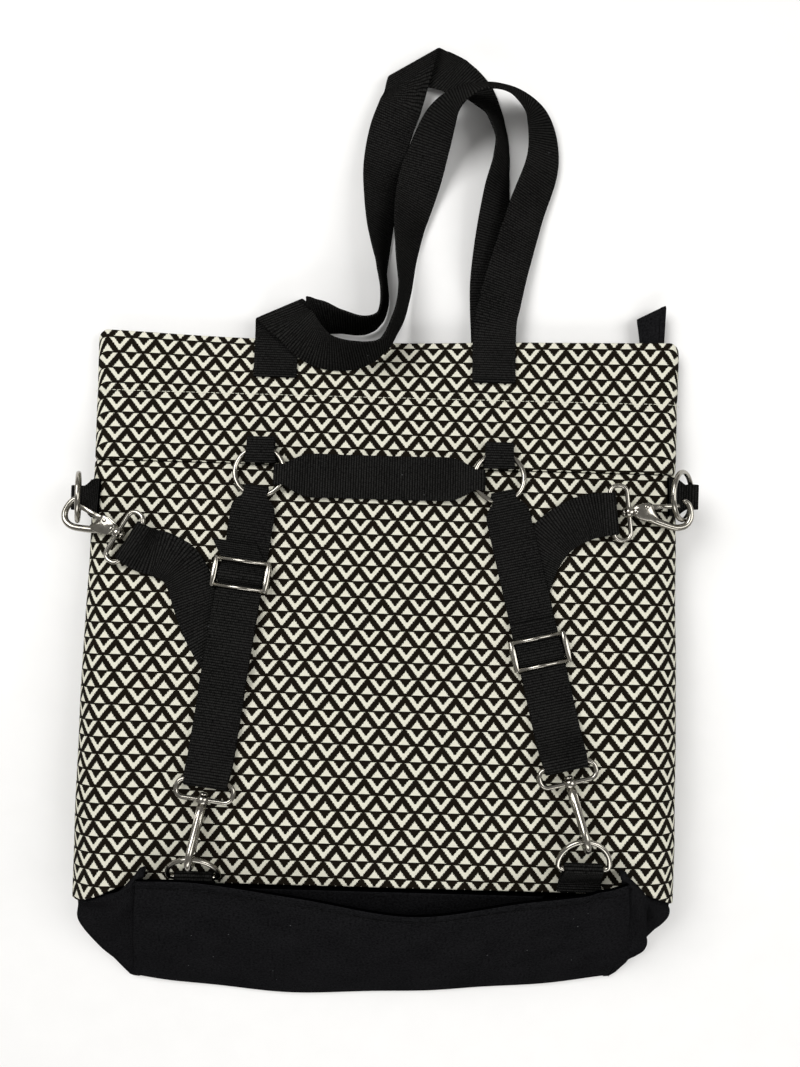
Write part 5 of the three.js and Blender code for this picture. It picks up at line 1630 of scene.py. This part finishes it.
hem_u = np.linspace(-HEM_REACH, HEM_REACH, 240)
hem_base = back_cloth(hem_u[None, :], np.array([[HEM_Y - 1.0], [HEM_Y], [HEM_Y + 1.0]]))
hem_line = slack_mouth(sagged(hem_base))[1] - grid_normals(hem_base)[1] * ON_CLOTH
stitching("hem_stitches", [hem_line], cream_thread, "jacquard", **HEM_STITCH)

# %% Black stitching on canvas and webbing
BOX = {"half": 13, "low": 165, "high": 190}
SEWN_AT = {"ring": 8.4, "yoke": 28, "side": 31}
SEWN_HALF = {"ring": 10, "yoke": 13}
SEWN_WIDE = 27
RING_FOLD_LIFT = 4.75
on_second = SECOND + THICK / 2 + ON_CLOTH
on_patch = patch_lift + THICK / 2 + ON_CLOTH
box_lines = []
for x in (PATCH["left"], PATCH["right"]):
    before, beyond = x - BOX["half"], x + BOX["half"]
    corners = [(before, BOX["high"]), (before, BOX["low"]), (beyond, BOX["low"]), (beyond, BOX["high"])]
    for a, b in zip(corners, corners[1:]):
        line = np.linspace(a, b, 12)
        box_lines.append(on_back(line[:, 0], line[:, 1], on_patch))
fold_lines = []
for side, centre in RINGS.items():
    across = np.linspace(-SEWN_HALF["ring"], SEWN_HALF["ring"], 6)
    fold_lines.append(on_back(centre[0] + across, centre[1] + SEWN_AT["ring"] + 0 * across, RING_FOLD_LIFT))
for x in (yoke_from + SEWN_AT["yoke"], yoke_from + yoke_span - SEWN_AT["yoke"]):
    up_line = np.linspace(-SEWN_HALF["yoke"], SEWN_HALF["yoke"], 8)
    fold_lines.append(on_back(x + 0 * up_line, YOKE_Y + up_line, on_second))
for hook_name, route in SIDE_STRAPS.items():
    bar = loop_bars[hook_name]
    plan = [(bar[0], bar[1]), *route]
    left, right = laid(plan, [row(SEWN_AT["side"], on_second, SEWN_WIDE)])
    fold_lines.append(np.linspace(left[0], right[0], 8))
stitching("lip_stitches", [lip_line], black_thread, "canvas", **LIP_STITCH)
stitching("strap_stitches", box_lines + fold_lines, black_thread, "webbing", **STRAP_STITCH)

# %% [markdown]
# ## Floor
# The floor isn't part of the bag.

# %% Floor
TABLE_SHADE = (0.80, 0.795, 0.785, 1)
TABLE_PALE = (0.84, 0.835, 0.825, 1)
floor_material, tree, shader = new_material("pale_table")
place = tree.nodes.new("ShaderNodeTexCoord").outputs["Object"]
grain = noise(tree, place, 40.0, 3.0, 0.5)
pale = mixed(tree, grain, TABLE_SHADE, TABLE_PALE)
tree.links.new(pale, shader.inputs["Base Color"])
shader.inputs["Roughness"].default_value = ROUGHNESS["table"]
FLOOR_SIDE = 4.0
FLOOR_Z = -0.0006
floor_mesh = bpy.data.meshes.new("pale_floor")
half = FLOOR_SIDE / 2
floor_corners = [(x * half, y * half, FLOOR_Z) for x, y in ((-1, -1), (1, -1), (1, 1), (-1, 1))]
floor_mesh.from_pydata(floor_corners, [], [(0, 1, 2, 3)])
floor_mesh.materials.append(floor_material)
floor = bpy.data.objects.new("pale_floor", floor_mesh)
scene.collection.objects.link(floor)
print("floor", FLOOR_SIDE, "m")
